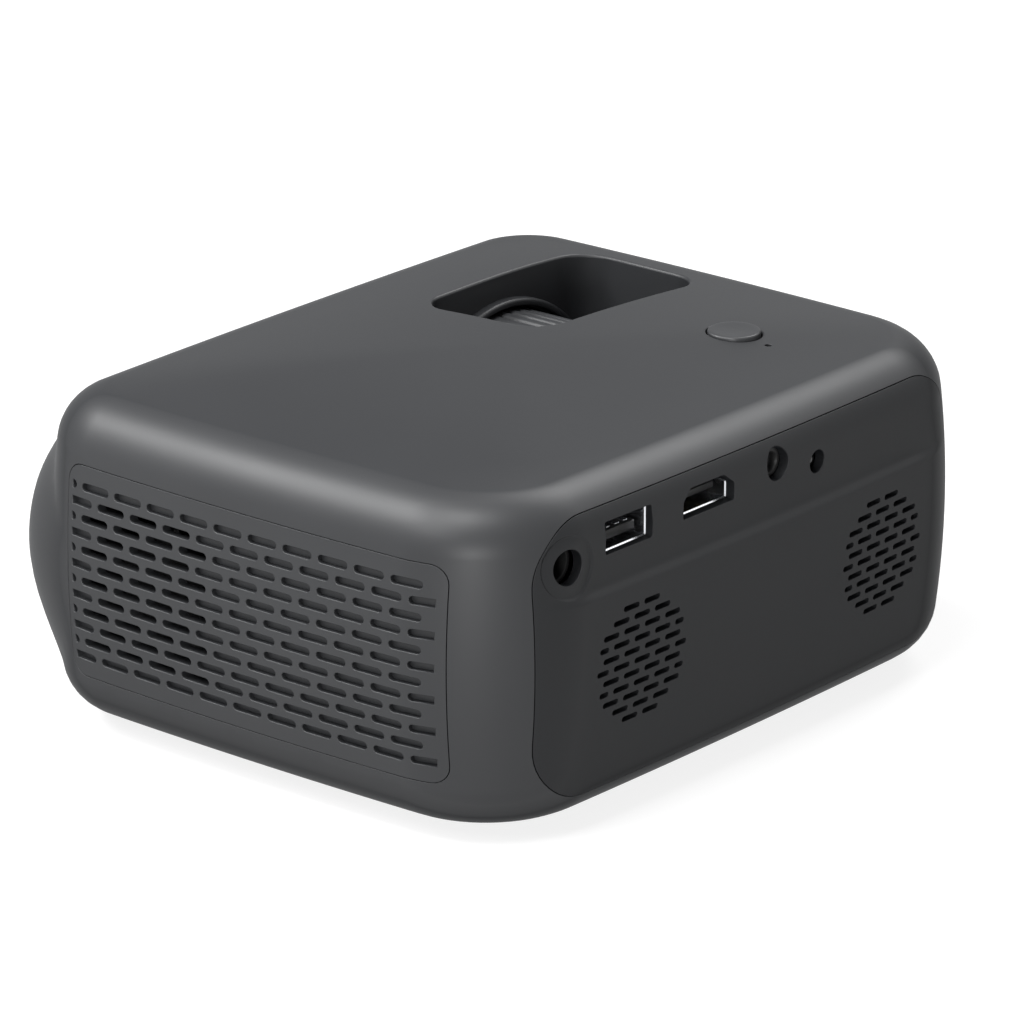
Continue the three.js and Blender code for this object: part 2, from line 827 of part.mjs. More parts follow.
function rearCover() {
  const slab = rearSlab(0);
  const [from, to] = [body.rear - rearPanel.cut, body.rear + overrun];
  const jackZ = boardUnder - powerJack.drop;
  const sunk = (grow, depth) => {
    const places = [
      prism("y", stripOutline(grow), from, to),
      rod("y", powerJack.x, jackZ, strip.ring + grow, from, to, 28),
    ];
    return outside(join(...places), depth);
  };
  const noseRoom = rod("y", powerJack.x, jackZ, powerJack.nose + gap, from, powerJack.mouth + gap, 20);
  return cut(
    flankShell.intersect(slab),
    sunk(0, strip.depth),
    sunk(strip.spread, strip.step),
    ...socketHoles(),
    noseRoom,
    prism("y", [...speakerSlots(-speaker.x), ...speakerSlots(speaker.x)], from, to),
  );
}

// The vent pattern of one side: open slots over the fan and blind pockets elsewhere.
function ventSlots() {
  const open = [];
  const pockets = [];
  for (let row = 0; row < vent.rows; row += 1) {
    const z = lens.z + ((vent.rows - 1) / 2 - row) * vent.rowPitch;
    const shift = row % 2 ? -0.5 : -1;
    for (let column = shift; column <= vent.columns; column += 1) {
      const middle = (column - (vent.columns - 1) / 2) * vent.pitch;
      const from = Math.max(middle - vent.slotLength / 2, -vent.patternLow);
      const to = Math.min(middle + vent.slotLength / 2, vent.patternHigh);
      if (to - from < vent.shortest) continue;
      const [y0, y1] = [vent.patternY + from, vent.patternY + to];
      const half = vent.slotHeight / 2;
      const overFan = Math.abs(vent.patternY + middle - fan.y) < vent.openReach;
      if (overFan && row > 0 && row < vent.rows - 1) {
        open.push(slot(y0, y1, z, half));
        continue;
      }
      const floor = sideFace((y0 + y1) / 2, z) - vent.pocket;
      pockets.push(block(floor, body.halfWidth + overrun, y0, y1, z - half, z + half));
    }
  }
  return { open, pockets };
}

const fanCorners = [-1, 1].flatMap((a) => [-1, 1].map((b) => [a * fan.screwReach, b * fan.screwReach]));

// A side insert; the left one carries pegs for the fan.
function ventGrille(side) {
  const { open, pockets } = ventSlots();
  const insert = flankShell.intersect(sideSlab(side, ventOutline(0)));
  const pegs =
    side > 0
      ? fanCorners.map(([dy, dz]) =>
          rod("x", fan.y + dy, lens.z + dz, fan.peg, fanOuter - fan.pegLength, body.halfWidth, 12).intersect(
            skin(body.wall / 2, coarse),
          ),
        )
      : [];
  return cut(join(insert, ...pegs), sideSlab(side, open), ...(side > 0 ? pockets : []));
}

function rubberFoot() {
  const height = body.base + foot.recess - gap;
  return turned(
    [
      [0, 0],
      [foot.radius - foot.edge, 0],
      [foot.radius, foot.edge],
      [foot.radius, height],
      [0, height],
    ],
    20,
  );
}

function coverScrew() {
  return turned(
    [
      [0, 0],
      [screw.head, 0],
      [screw.head, screw.headHeight - gap],
      [screw.shank, screw.headHeight - gap],
      [screw.shank, screw.headHeight + screw.length - gap],
      [0, screw.headHeight + screw.length - gap],
    ],
    10,
  );
}

function threadInsert() {
  return turned(
    [
      [tripod.bore, 0],
      [tripod.radius, 0],
      [tripod.radius, tripod.length],
      [tripod.bore, tripod.length],
    ],
    20,
  );
}

// Lens pieces, turned about the lens axis

function lensBezel() {
  return turned(
    [
      [bezel.throat, bezel.rear],
      [bezel.radius, bezel.rear],
      [bezel.radius, bezel.front + gap],
      [bezel.radius - gap, bezel.front],
      [bezel.mouth, bezel.front],
      [bezel.throat, bezel.rear - bezel.land],
    ],
    36,
  );
}

// The slot that leads the cam pin: rings of four corners along a helix.
function camSlot() {
  const half = camPin.radius + gap;
  const reach = focus.turn + focus.spare + half / mount.radius;
  const rings = Array.from({ length: lead.steps + 1 }, (_, i) => {
    const angle = ((2 * i) / lead.steps - 1) * reach;
    const y = camPin.y - (angle / focus.turn) * focus.travel;
    return [
      [mount.bore - overrun / 2, -half],
      [mount.radius + overrun / 2, -half],
      [mount.radius + overrun / 2, half],
      [mount.bore - overrun / 2, half],
    ].map(([r, dy]) => new THREE.Vector3(-r * Math.sin(angle), y + dy, -r * Math.cos(angle)));
  });
  return loft(rings);
}

function lensMount() {
  const shoulderFront = ring.rear + gap;
  return cut(
    turned(
      [
        [mount.bore, mount.front],
        [mount.radius, mount.front],
        [mount.radius, shoulderFront],
        [mount.shoulder, shoulderFront],
        [mount.shoulder, mount.flangeRear],
        [mount.bore, mount.flangeRear],
      ],
      ring.sides,
    ),
    camSlot(),
  );
}

// Ribbed outside, two bearing lands inside, and a pair of ribs that drive the cam pin.
function focusRing() {
  const outline = Array.from({ length: ring.ribs }, (_, i) => {
    const pitch = (2 * Math.PI) / ring.ribs;
    const at = (share, radius) => {
      const angle = (i + share) * pitch;
      return new THREE.Vector2(radius * Math.cos(angle), radius * Math.sin(angle));
    };
    return [
      at(0, ring.radius),
      at(ribCrestShare, ring.radius),
      at((1 + ribCrestShare) / 2, ring.radius - ring.ribDepth),
    ];
  }).flat();
  const bore = rod("y", 0, 0, ringBore, ring.front - overrun, ring.rear + overrun, ring.sides);
  const relief = rod("y", 0, 0, ring.relief, ring.front + ring.land, ring.rear - ring.land, ring.sides);
  const ribs = [-1, 1].map((side) => {
    const edges = [camPin.radius + gap, camPin.radius + gap + driveRib.width].map((x) => side * x);
    return block(
      Math.min(...edges),
      Math.max(...edges),
      ring.front + gap,
      ring.rear - gap,
      -ring.relief - gap,
      -ringBore + gap,
    );
  });
  return cut(join(cut(prism("y", outline, ring.front, ring.rear), relief), ...ribs), bore);
}

function ringRetainer() {
  const rear = ring.front - gap;
  return turned(
    [
      [ringBore, rear - retainerRing.thickness],
      [retainerRing.radius, rear - retainerRing.thickness],
      [retainerRing.radius, rear],
      [ringBore, rear],
    ],
    ring.sides,
  );
}

function lensBarrel() {
  const seatBore = barrelBore - barrel.lip;
  return cut(
    turned(
      [
        [barrelBore, barrel.front],
        [barrelRadius, barrel.front],
        [barrelRadius, barrel.rear],
        [seatBore, barrel.rear],
        [seatBore, barrel.rear - barrel.seatWidth],
        [barrelBore, barrel.rear - barrel.seatWidth],
        [barrelBore, barrel.seat + barrel.seatWidth],
        [seatBore, barrel.seat + barrel.seatWidth],
        [seatBore, barrel.seat],
        [barrelBore, barrel.seat],
      ],
      barrel.sides,
    ),
    rod("z", 0, camPin.y, camPin.radius + gap, -barrelRadius - overrun, -barrelBore + gap, 12),
  );
}

// A pin from inside the barrel's wall, through the mount's slot, to between the ring's ribs.
function camFollower() {
  const tip = mount.radius + camPin.reach;
  return rod("z", 0, camPin.y, camPin.radius, -tip, -barrelRadius + camPin.root, 12);
}

// Glass between two edges; a sag bows its face out, or in where it is negative.
function glassElement(edgeFront, edgeRear, frontSag, rearSag, radius = lensRadius, sides = 20) {
  const steps = 3;
  const face = (edge, sag) =>
    Array.from({ length: steps + 1 }, (_, i) => [(radius * i) / steps, edge + sag * (1 - (i / steps) ** 2)]);
  return turned([...face(edgeFront, -frontSag), ...face(edgeRear, rearSag).reverse()], sides);
}

const middleRear = barrel.seat - gap;
const middleFront = middleRear - glass.middleEdge;
const spacerFront = middleFront - gap - spacer.length;
const frontRear = spacerFront - gap;
const frontFront = frontRear - glass.frontEdge;
const backRear = barrel.rear - barrel.seatWidth - gap;

function spacerRing(front, rear, wall) {
  return turned(
    [
      [lensRadius - wall, front],
      [lensRadius, front],
      [lensRadius, rear],
      [lensRadius - wall, rear],
    ],
    barrel.sides,
  );
}

// Light engine

function engineBox() {
  const { left, right, front, rear, bottom, top, wall } = engine;
  const ribs = Object.values(plateXs).flatMap((x) =>
    [-1, 1].flatMap((side) => {
      const at = x + side * (plate.thickness / 2 + gap + plate.rib / 2);
      const low = engine.bottom + wall - gap;
      return [
        block(
          at - plate.rib / 2,
          at + plate.rib / 2,
          front + wall - gap,
          engine.axisY - plate.halfWidth + plate.ribReach,
          low,
          plate.top,
        ),
        block(
          at - plate.rib / 2,
          at + plate.rib / 2,
          engine.axisY + plate.halfWidth - plate.ribReach,
          rear - wall + gap,
          low,
          plate.top,
        ),
      ];
    }),
  );
  return cut(
    join(
      cut(
        block(left, right, front, rear, bottom, top),
        block(left + wall, right - wall, front + wall, rear - wall, bottom + wall, top + overrun),
      ),
      ...ribs,
    ),
    rod("y", lens.x, lens.z, engine.lensHole, front - overrun, front + wall + overrun / 2, 32),
    rod("x", engine.axisY, lens.z, engine.lampHole, right - wall - overrun / 2, right + overrun, 28),
  );
}

function engineLid() {
  const low = engine.top + gap;
  return cut(
    block(engine.left, engine.right, engine.front, engine.rear, low, low + engine.lid),
    block(
      plateXs.panel - ribbon.bend / 2,
      plateXs.panel + ribbon.bend / 2,
      engine.axisY - ribbon.halfWidth - gap,
      engine.axisY + ribbon.halfWidth + gap,
      low - overrun,
      low + overrun,
    ),
  );
}

// One flat sheet of the light path, standing between its guide ribs.
function opticalSheet(thickness) {
  return block(
    -thickness / 2,
    thickness / 2,
    engine.axisY - plate.halfWidth + plate.inset,
    engine.axisY + plate.halfWidth - plate.inset,
    plateFloor,
    plate.top,
  );
}

function foldMirror() {
  return block(-mirror.length / 2, mirror.length / 2, 0, mirror.thickness, plateFloor, mirror.top);
}

// Flat towards the lamp, bowed towards the panel, turned about Y and then laid along X.
function condenserLens() {
  const radius = engine.lampHole - gap;
  return glassElement(-condenser.edge, 0, condenser.sag, 0, radius, condenser.sides);
}

function lampBoard() {
  const low = engine.right + gap;
  return join(
    block(
      low,
      low + lamp.thickness,
      engine.axisY - lamp.half,
      engine.axisY + lamp.half,
      lens.z - lamp.half,
      lens.z + lamp.half,
    ),
    rod("x", engine.axisY, lens.z, lamp.emitter, low - lamp.emitterHeight, low + lamp.thickness / 2, 16),
  );
}

const sinkFace = engine.right + gap + lamp.thickness + gap;

function heatSink() {
  const base = block(sinkFace, sinkFace + sink.base, sink.front, sink.rear, sink.bottom, sink.top);
  const pitch = (sink.top - sink.bottom - sink.fin) / (sink.fins - 1);
  const fins = Array.from({ length: sink.fins }, (_, i) => {
    const z = sink.bottom + i * pitch;
    return block(sinkFace + gap, fanInner - sink.fanGap, sink.front, sink.rear, z, z + sink.fin);
  });
  return join(base, ...fins);
}

// Fan, built about its own axis along X and moved to its place

function fanFrame() {
  const half = fan.side / 2;
  const hubRadius = fan.hub - fan.cupWall;
  const struts = [0, 1].map((turn) => {
    const length = fan.bore + gap;
    const width = fan.strut / 2;
    return turn
      ? block(0, fan.spider, -length, length, -width, width)
      : block(0, fan.spider, -width, width, -length, length);
  });
  return cut(
    join(
      cut(
        prism("x", roundedRect(-half, half, -half, half, fan.strut, 2), 0, fan.depth),
        rod("x", 0, 0, fan.bore, -overrun, fan.depth + overrun, 28),
      ),
      ...struts,
      rod("x", 0, 0, hubRadius, 0, fan.spider, 20),
      rod("x", 0, 0, fan.bearing, 0, fan.spider + fan.bearingLength, 14),
    ),
    rod("x", 0, 0, fan.axle + gap, fan.spider, fan.depth, 12),
    ...fanCorners.map(([dy, dz]) => rod("x", dy, dz, fan.screwHole, -overrun, fan.depth + overrun, 8)),
  );
}

function fanRotor() {
  const [low, high] = [fan.spider + gap, fan.depth - gap];
  const cup = cut(
    rod("x", 0, 0, fan.hub, low, high, 20),
    rod("x", 0, 0, fan.hub - fan.cupWall, low - overrun, high - fan.cupWall, 20),
  );
  const axle = rod("x", 0, 0, fan.axle, fan.spider + gap, high - gap, 10);
  const blades = Array.from({ length: fan.blades }, (_, i) => {
    const reach = fan.bladeReach - fan.hub;
    const blade = new THREE.BoxGeometry(fan.bladeChord, fan.bladeThickness, reach + fan.cupWall / 2);
    blade.rotateZ(bladePitch);
    blade.translate((low + high) / 2, 0, fan.hub + reach / 2 - fan.cupWall / 4);
    blade.rotateX((i / fan.blades) * 2 * Math.PI);
    return solid(blade);
  });
  return join(cup, axle, ...blades);
}

function dustFilter() {
  const face = sideFace(fan.y) - body.wall - filter.wallDrop;
  return block(
    -face,
    -face + filter.thickness,
    fan.y - filter.halfLength,
    fan.y + filter.halfLength,
    lens.z - filter.halfHeight,
    lens.z + filter.halfHeight,
  );
}

// Boards

function mainBoard() {
  const { left, right, front, rear, chamfer } = board;
  const outline = [
    [left, front],
    [right, front],
    [right, rear - chamfer],
    [right - chamfer, rear],
    [left + chamfer, rear],
    [left, rear - chamfer],
  ].map(([x, y]) => new THREE.Vector2(x, y));
  const under = boardUnder - chip.height;
  return cut(
    join(
      prism("z", outline, boardUnder, boardTop),
      block(
        chip.x - chip.halfLength,
        chip.x + chip.halfLength,
        chip.y - chip.halfLength,
        chip.y + chip.halfLength,
        under,
        boardTop - gap,
      ),
      block(
        chip.secondX - chip.second,
        chip.secondX + chip.second,
        chip.secondY - chip.second,
        chip.secondY + chip.second,
        under,
        boardTop - gap,
      ),
      block(
        plateXs.panel + ribbon.bend,
        plateXs.panel + ribbon.bend + boardPlug.depth,
        engine.axisY - boardPlug.half,
        engine.axisY + boardPlug.half,
        boardUnder - boardPlug.height,
        boardTop - gap,
      ),
    ),
    ...screwedPosts.map(({ x, y }) =>
      rod("z", x, y, boardPost.screw + gap, boardUnder - overrun, boardTop + overrun, 12),
    ),
  );
}

function boardScrew() {
  const rise = board.thickness + gap + gap + boardPost.depth - gap;
  return turned(
    [
      [0, 0],
      [boardPost.head, 0],
      [boardPost.head, boardPost.headHeight],
      [boardPost.screw, boardPost.headHeight],
      [boardPost.screw, boardPost.headHeight + rise],
      [0, boardPost.headHeight + rise],
    ],
    10,
  );
}

const powerTop = powerBoard.lift + powerBoard.thickness;
const powerMidX = (powerBoard.left + powerBoard.right) / 2;

function powerSupply() {
  const { left, right, front, rear, lift } = powerBoard;
  const canY = front + powerParts.can * 1.6;
  const chokeY = canY + powerParts.can + powerParts.choke * 1.4;
  const root = powerTop - gap;
  return join(
    block(left, right, front, rear, lift, powerTop),
    rod("z", left + powerParts.can * 1.5, canY, powerParts.can, root, powerTop + powerParts.canHeight, 16),
    block(
      powerMidX - powerParts.choke,
      powerMidX + powerParts.choke,
      chokeY - powerParts.choke,
      chokeY + powerParts.choke,
      root,
      powerTop + powerParts.chokeHeight,
    ),
    block(
      right - powerParts.plug,
      right - gap,
      front + powerParts.plug,
      front + powerParts.plug * 3,
      root,
      powerTop + powerParts.plugHeight,
    ),
    block(
      right - powerParts.plug,
      right - gap,
      rear - powerParts.plug * 3,
      rear - powerParts.plug,
      root,
      powerTop + powerParts.plugHeight,
    ),
  );
}

// Sockets

const dataZ = boardUnder - dataPort.drop - dataPort.height / 2;
const videoZ = boardUnder - videoPort.drop - videoPort.height / 2;

// Wide below and narrow above, with sloped shoulders.
function videoOutline(grow) {
  const { x, width, narrow, height, shoulder } = videoPort;
  const [low, high] = [videoZ - height / 2 - grow, videoZ + height / 2 + grow];
  return [
    [x - width / 2 - grow, low],
    [x + width / 2 + grow, low],
    [x + width / 2 + grow, high - shoulder],
    [x + narrow / 2 + grow, high],
    [x - narrow / 2 - grow, high],
    [x - width / 2 - grow, high - shoulder],
  ].map(([u, v]) => new THREE.Vector2(u, v));
}

function dataShell() {
  const { x, width, height, wall, depth } = dataPort;
  const rect = (inset) =>
    roundedRect(
      x - width / 2 + inset,
      x + width / 2 - inset,
      dataZ - height / 2 + inset,
      dataZ + height / 2 - inset,
      wall - inset / 2,
      1,
    );
  const back = sockets.mouth - depth;
  return cut(
    prism("y", rect(0), back, sockets.mouth),
    prism("y", rect(wall), back - overrun, sockets.mouth + overrun),
  );
}

function dataInsert() {
  const back = sockets.mouth - dataPort.depth + gap;
  const { halfWidth, thickness, low, length, block: blockDepth } = dataTongue;
  const room = dataPort.wall + gap;
  const middle = dataZ - low;
  return join(
    block(
      dataPort.x - dataPort.width / 2 + room,
      dataPort.x + dataPort.width / 2 - room,
      back,
      back + blockDepth,
      dataZ - dataPort.height / 2 + room,
      dataZ + dataPort.height / 2 - room,
    ),
    block(
      dataPort.x - halfWidth,
      dataPort.x + halfWidth,
      back + gap,
      back + length,
      middle - thickness / 2,
      middle + thickness / 2,
    ),
  );
}

function videoShell() {
  const back = sockets.mouth - videoPort.depth;
  return cut(
    prism("y", videoOutline(0), back, sockets.mouth),
    prism("y", videoOutline(-videoPort.wall), back - overrun, sockets.mouth + overrun),
  );
}

function videoInsert() {
  const back = sockets.mouth - videoPort.depth + gap;
  const { halfWidth, thickness, length, block: blockDepth } = videoTongue;
  return join(
    prism("y", videoOutline(-videoPort.wall - gap), back, back + blockDepth),
    block(
      videoPort.x - halfWidth,
      videoPort.x + halfWidth,
      back + gap,
      back + length,
      videoZ - thickness / 2,
      videoZ + thickness / 2,
    ),
  );
}

function audioSocket() {
  const z = boardUnder - audioJack.drop;
  const { x, half, depth, nose, noseLength, bore } = audioJack;
  const face = sockets.mouth - noseLength;
  return cut(
    join(
      block(x - half, x + half, face - depth, face, z - half, z + audioJack.drop - gap),
      rod("y", x, z, nose, face - gap, sockets.mouth, 16),
    ),
    rod("y", x, z, bore, face - depth + noseLength, sockets.mouth + overrun, 12),
  );
}

function powerSocket() {
  const z = boardUnder - powerJack.drop;
  const { x, half, under, depth, nose, noseLength, bore, pin, mouth, boreDepth } = powerJack;
  const face = mouth - noseLength;
  return join(
    cut(
      join(
        block(x - half, x + half, face - depth, face, z - under, boardUnder - gap),
        rod("y", x, z, nose, face - gap, mouth, 20),
      ),
      rod("y", x, z, bore, mouth - boreDepth, mouth + overrun, 16),
    ),
    rod("y", x, z, pin, mouth - boreDepth - gap, mouth - noseLength, 8),
  );
}

function remoteReceiver() {
  const z = boardUnder - receiver.drop;
  const { x, eye, eyeLength, half, depth, back, lead: leadWidth } = receiver;
  const leads = [-1, 0, 1].map((i) => {
    const u = x + i * half * 0.7;
    return block(u - leadWidth / 2, u + leadWidth / 2, back, back + leadWidth, z, boardUnder - gap);
  });
  return join(
    block(x - half, x + half, back, back + depth, z - half, z + half),
    rod("y", x, z, eye, back + gap, back + depth + eyeLength, 14),
    ...leads,
  );
}

// Button, switch and indicator

const buttonTop = topAt(button.x, button.y) + button.proud;
const flangeTop = topAt(button.x, button.y) - body.wall - button.headroom;
const plungerTop = boardTop + gap + tact.height + tact.plungerUp;

// A round cap with a flange that keeps it in the case and a stem for its switch; turned about Y.
function powerButton() {
  return turned(
    [
      [0, plungerTop + gap],
      [button.stem, plungerTop + gap],
      [button.stem, flangeTop - button.flangeThickness],
      [button.flange, flangeTop - button.flangeThickness],
      [button.flange, flangeTop],
      [button.radius, flangeTop],
      [button.radius, buttonTop - button.edge],
      [button.radius - button.edge, buttonTop],
      [0, buttonTop],
    ],
    24,
  );
}

function switchBody() {
  const low = boardTop + gap;
  return cut(
    block(-tact.half, tact.half, -tact.half, tact.half, low, low + tact.height),
    rod(
      "z",
      0,
      0,
      tact.bore,
      plungerTop - tact.plungerUp - tact.plungerDown - button.travel - gap,
      plungerTop,
      12,
    ),
  );
}

function switchPlunger() {
  return rod("z", 0, 0, tact.plunger, plungerTop - tact.plungerUp - tact.plungerDown, plungerTop, 12);
}

function lightPipe() {
  return rod("z", 0, 0, indicator.radius, boardTop + gap, topAt(indicator.x, indicator.y) - gap, 8);
}

// Speakers, turned about the Y axis and facing the rear panel

const speakerFoot = speaker.face - speaker.coneDepth;

function speakerBasket() {
  const { radius, rim, face, magnet, magnetDepth, wall } = speaker;
  return turned(
    [
      [0, speakerFoot - wall - magnetDepth],
      [magnet, speakerFoot - wall - magnetDepth],
      [magnet, speakerFoot - wall],
      [radius, face - rim],
      [radius, face],
      [radius - wall, face],
      [radius - wall, face - rim],
      [magnet - wall, speakerFoot],
      [0, speakerFoot],
    ],
    speaker.sides,
  );
}

// A paper cone with a dust cap, one thickness all over.
function speakerCone() {
  const { radius, face, magnet, wall, paper } = speaker;
  const rimRadius = radius - wall - gap;
  const cap = magnet / 2;
  const low = speakerFoot + gap + paper;
  const upper = [
    [0, low + cap / 2],
    [cap, low],
    [rimRadius - wall, face - wall],
    [rimRadius, face - wall],
  ];
  const under = upper.map(([r, y]) => [r, y - paper]).reverse();
  return turned([...upper, ...under], speaker.sides);
}

// Leads and ribbons

function tube(points) {
  const path = new THREE.CatmullRomCurve3(points.map((p) => new THREE.Vector3(...p)));
  const shape = new THREE.Shape(circle(0, 0, lead.radius, lead.sides));
  const along = { extrudePath: path, steps: lead.steps, bevelEnabled: false };
  return solid(new THREE.ExtrudeGeometry(shape, along));
}

// From the fan's lower corner down to the plug on the power board.
function fanLead() {
  const plugY = powerBoard.front + powerParts.plug * 2;
  const plugZ = powerTop + powerParts.plugHeight / 2;
  const start = fanInner - gap - lead.radius;
  const low = lens.z - fan.side / 2;
  return tube([
    [start, fan.y - fan.screwReach, low + fan.strut],
    [start - fan.strut * 2, fan.y - fan.side / 2, low - fan.strut],
    [(start + powerBoard.right) / 2, plugY, plugZ - fan.strut],
    [powerBoard.right + fan.strut * 2, plugY, plugZ],
    [powerBoard.right + gap, plugY, plugZ],
  ]);
}

// From the lamp board's lower edge, under the heat sink, to the second plug.
function lampLead() {
  const plugY = powerBoard.rear - powerParts.plug * 2;
  const plugZ = powerTop + powerParts.plugHeight / 2;
  const x = engine.right + gap + lamp.thickness / 2;
  const low = lens.z - lamp.half - gap;
  return tube([
    [x, engine.axisY, low],
    [x, engine.axisY, (low + plugZ) / 2],
    [x, (engine.axisY + engine.front) / 2, plugZ - lead.radius * 3],
    [x, engine.front, plugZ - lead.radius * 3],
    [x + lead.radius, plugY + lead.radius * 4, plugZ],
    [powerBoard.right + lead.radius * 3, plugY, plugZ],
    [powerBoard.right + gap, plugY, plugZ],
  ]);
}

// A flat ribbon from the panel's top edge through the lid to its plug under the main board.
function panelRibbon() {
  const half = ribbon.thickness / 2;
  const low = plate.top + gap;
  const high = boardUnder - boardPlug.height / 2;
  const x = plateXs.panel;
  const end = x + ribbon.bend - gap;
  return prism(
    "y",
    [
      [x - half, low],
      [x + half, low],
      [x + half, high - half],
      [end, high - half],
      [end, high + half],
      [x - half, high + half],
    ].map(([u, v]) => new THREE.Vector2(u, v)),
    engine.axisY - ribbon.halfWidth,
    engine.axisY + ribbon.halfWidth,
  );
}

// Finishes

const finish = (color, roughness, metalness = 0) =>
  new THREE.MeshStandardMaterial({ color, roughness, metalness });
const casePlastic = finish(0x55575a, 0.55);
const panelPlastic = finish(0x46484b, 0.6);
const blackPlastic = finish(0x1b1c1e, 0.5);
const glossBlack = finish(0x101114, 0.2);
const rubber = finish(0x161616, 0.9);
const aluminium = finish(0xb6b9bd, 0.4, 0.9);
const steel = finish(0xa8abb0, 0.35, 1);
const chrome = finish(0xd8dade, 0.15, 1);
const brass = finish(0xb79a55, 0.35, 1);
const boardGreen = finish(0x1f5a3a, 0.6);
const clearGlass = finish(0xcfe0e8, 0.05);
const mirrorGlass = finish(0xe6ecef, 0.02, 1);
const paper = finish(0x2b2b2d, 0.9);
const foam = finish(0x2a2c2e, 1);
const whitePlastic = finish(0xe2e2dc, 0.5);

// The object

const projector = new THREE.Group();

function add(parent, name, made, material, position = [0, 0, 0]) {
  const mesh = new THREE.Mesh(geometryOf(made), material);
  mesh.name = name;
  mesh.position.set(...position);
  parent.add(mesh);
  return mesh;
}

function groupAt(...position) {
  const group = new THREE.Group();
  group.position.set(...position);
  projector.add(group);
  return group;
}

add(projector, "main_housing", mainHousing(), casePlastic);
add(projector, "bottom_cover", bottomCover(), panelPlastic);
add(projector, "front_cover", frontCover(), glossBlack);
add(projector, "rear_cover", rearCover(), panelPlastic);
add(projector, "left_vent_grille", ventGrille(1), casePlastic);
add(projector, "right_vent_grille", ventGrille(-1), casePlastic);
add(projector, "dust_filter", dustFilter(), foam);
add(projector, "tripod_insert", threadInsert(), brass, [0, 0, 0]);

const insertMesh = projector.getObjectByName("tripod_insert");
insertMesh.rotation.x = Math.PI / 2;
insertMesh.position.set(0, tripod.y, body.base + gap);

footPlaces.forEach(({ x, y }, i) => {
  const rubberMesh = add(projector, `rubber_foot_${i + 1}`, rubberFoot(), rubber, [x, y, 0]);
  rubberMesh.rotation.x = Math.PI / 2;
  const screwMesh = add(projector, `cover_screw_${i + 1}`, coverScrew(), steel);
  screwMesh.rotation.x = Math.PI / 2;
  screwMesh.position.set(x, y, body.base + foot.recess + gap);
});

const lensGroup = groupAt(lens.x, 0, lens.z);
add(lensGroup, "lens_bezel", lensBezel(), blackPlastic);
add(lensGroup, "lens_mount", lensMount(), blackPlastic);
add(lensGroup, "focus_ring", focusRing(), panelPlastic);
add(lensGroup, "ring_retainer", ringRetainer(), steel);
add(lensGroup, "lens_barrel", lensBarrel(), blackPlastic);
add(lensGroup, "cam_pin", camFollower(), steel);
add(lensGroup, "front_lens", glassElement(frontFront, frontRear, glass.frontSag, -glass.hollow), clearGlass);
add(
  lensGroup,
  "middle_lens",
  glassElement(middleFront, middleRear, -glass.hollow, -glass.hollow),
  clearGlass,
);
add(
  lensGroup,
  "rear_lens",
  glassElement(backRear - glass.rearEdge, backRear, glass.rearSag, glass.backSag),
  clearGlass,
);
add(lensGroup, "lens_spacer", spacerRing(spacerFront, middleFront - gap, spacer.wall), blackPlastic);
add(
  lensGroup,
  "lens_clamp_ring",
  spacerRing(
    frontFront - glass.frontSag * 0.3 - clampRing.thickness,
    frontFront - glass.frontSag * 0.3,
    clampRing.wall,
  ),
  blackPlastic,
);

add(projector, "engine_box", engineBox(), blackPlastic);
add(projector, "engine_lid", engineLid(), blackPlastic);
const mirrorMesh = add(projector, "fold_mirror", foldMirror(), mirrorGlass, [lens.x, engine.axisY, 0]);
mirrorMesh.rotation.z = Math.PI / 4;
add(projector, "field_fresnel", opticalSheet(plate.thickness), clearGlass, [plateXs.field, 0, 0]);
add(projector, "image_panel", opticalSheet(plate.thickness), paper, [plateXs.panel, 0, 0]);
add(projector, "collimator_fresnel", opticalSheet(plate.thickness), clearGlass, [plateXs.collimator, 0, 0]);
const condenserMesh = add(projector, "condenser_lens", condenserLens(), clearGlass);
condenserMesh.rotation.z = -Math.PI / 2;
condenserMesh.position.set(engine.right - condenser.setBack, engine.axisY, lens.z);
add(projector, "lamp_board", lampBoard(), aluminium);
add(projector, "heat_sink", heatSink(), aluminium);

const fanGroup = groupAt(fanInner, fan.y, lens.z);
add(fanGroup, "fan_frame", fanFrame(), blackPlastic);
add(fanGroup, "fan_rotor", fanRotor(), blackPlastic);

add(projector, "main_board", mainBoard(), boardGreen);
screwedPosts.forEach(({ x, y }, i) => {
  const mesh = add(projector, `board_screw_${i + 1}`, boardScrew(), steel);
  mesh.rotation.x = Math.PI / 2;
  mesh.position.set(x, y, boardUnder - gap - boardPost.headHeight);
});
add(projector, "power_board", powerSupply(), boardGreen);
add(projector, "data_socket_shell", dataShell(), chrome);
add(projector, "data_socket_tongue", dataInsert(), blackPlastic);
add(projector, "video_socket_shell", videoShell(), chrome);
add(projector, "video_socket_tongue", videoInsert(), blackPlastic);
add(projector, "audio_socket", audioSocket(), blackPlastic);
add(projector, "power_socket", powerSocket(), blackPlastic);
add(projector, "remote_receiver", remoteReceiver(), glossBlack);

const buttonMesh = add(projector, "power_button", powerButton(), casePlastic, [button.x, button.y, 0]);
buttonMesh.rotation.x = Math.PI / 2;
add(projector, "switch_body", switchBody(), blackPlastic, [button.x, button.y, 0]);
add(projector, "switch_plunger", switchPlunger(), whitePlastic, [button.x, button.y, 0]);
add(projector, "indicator_light_pipe", lightPipe(), clearGlass, [indicator.x, indicator.y, 0]);

[
  ["left", 1],
  ["right", -1],
].forEach(([side, sign]) => {
  const place = [sign * speaker.x, 0, speaker.z];
  add(projector, `${side}_speaker_basket`, speakerBasket(), steel, place);
  add(projector, `${side}_speaker_cone`, speakerCone(), paper, place);
});

add(projector, "fan_lead", fanLead(), blackPlastic);
add(projector, "lamp_lead", lampLead(), rubber);
add(projector, "panel_ribbon", panelRibbon(), brass);

export default projector;
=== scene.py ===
import math

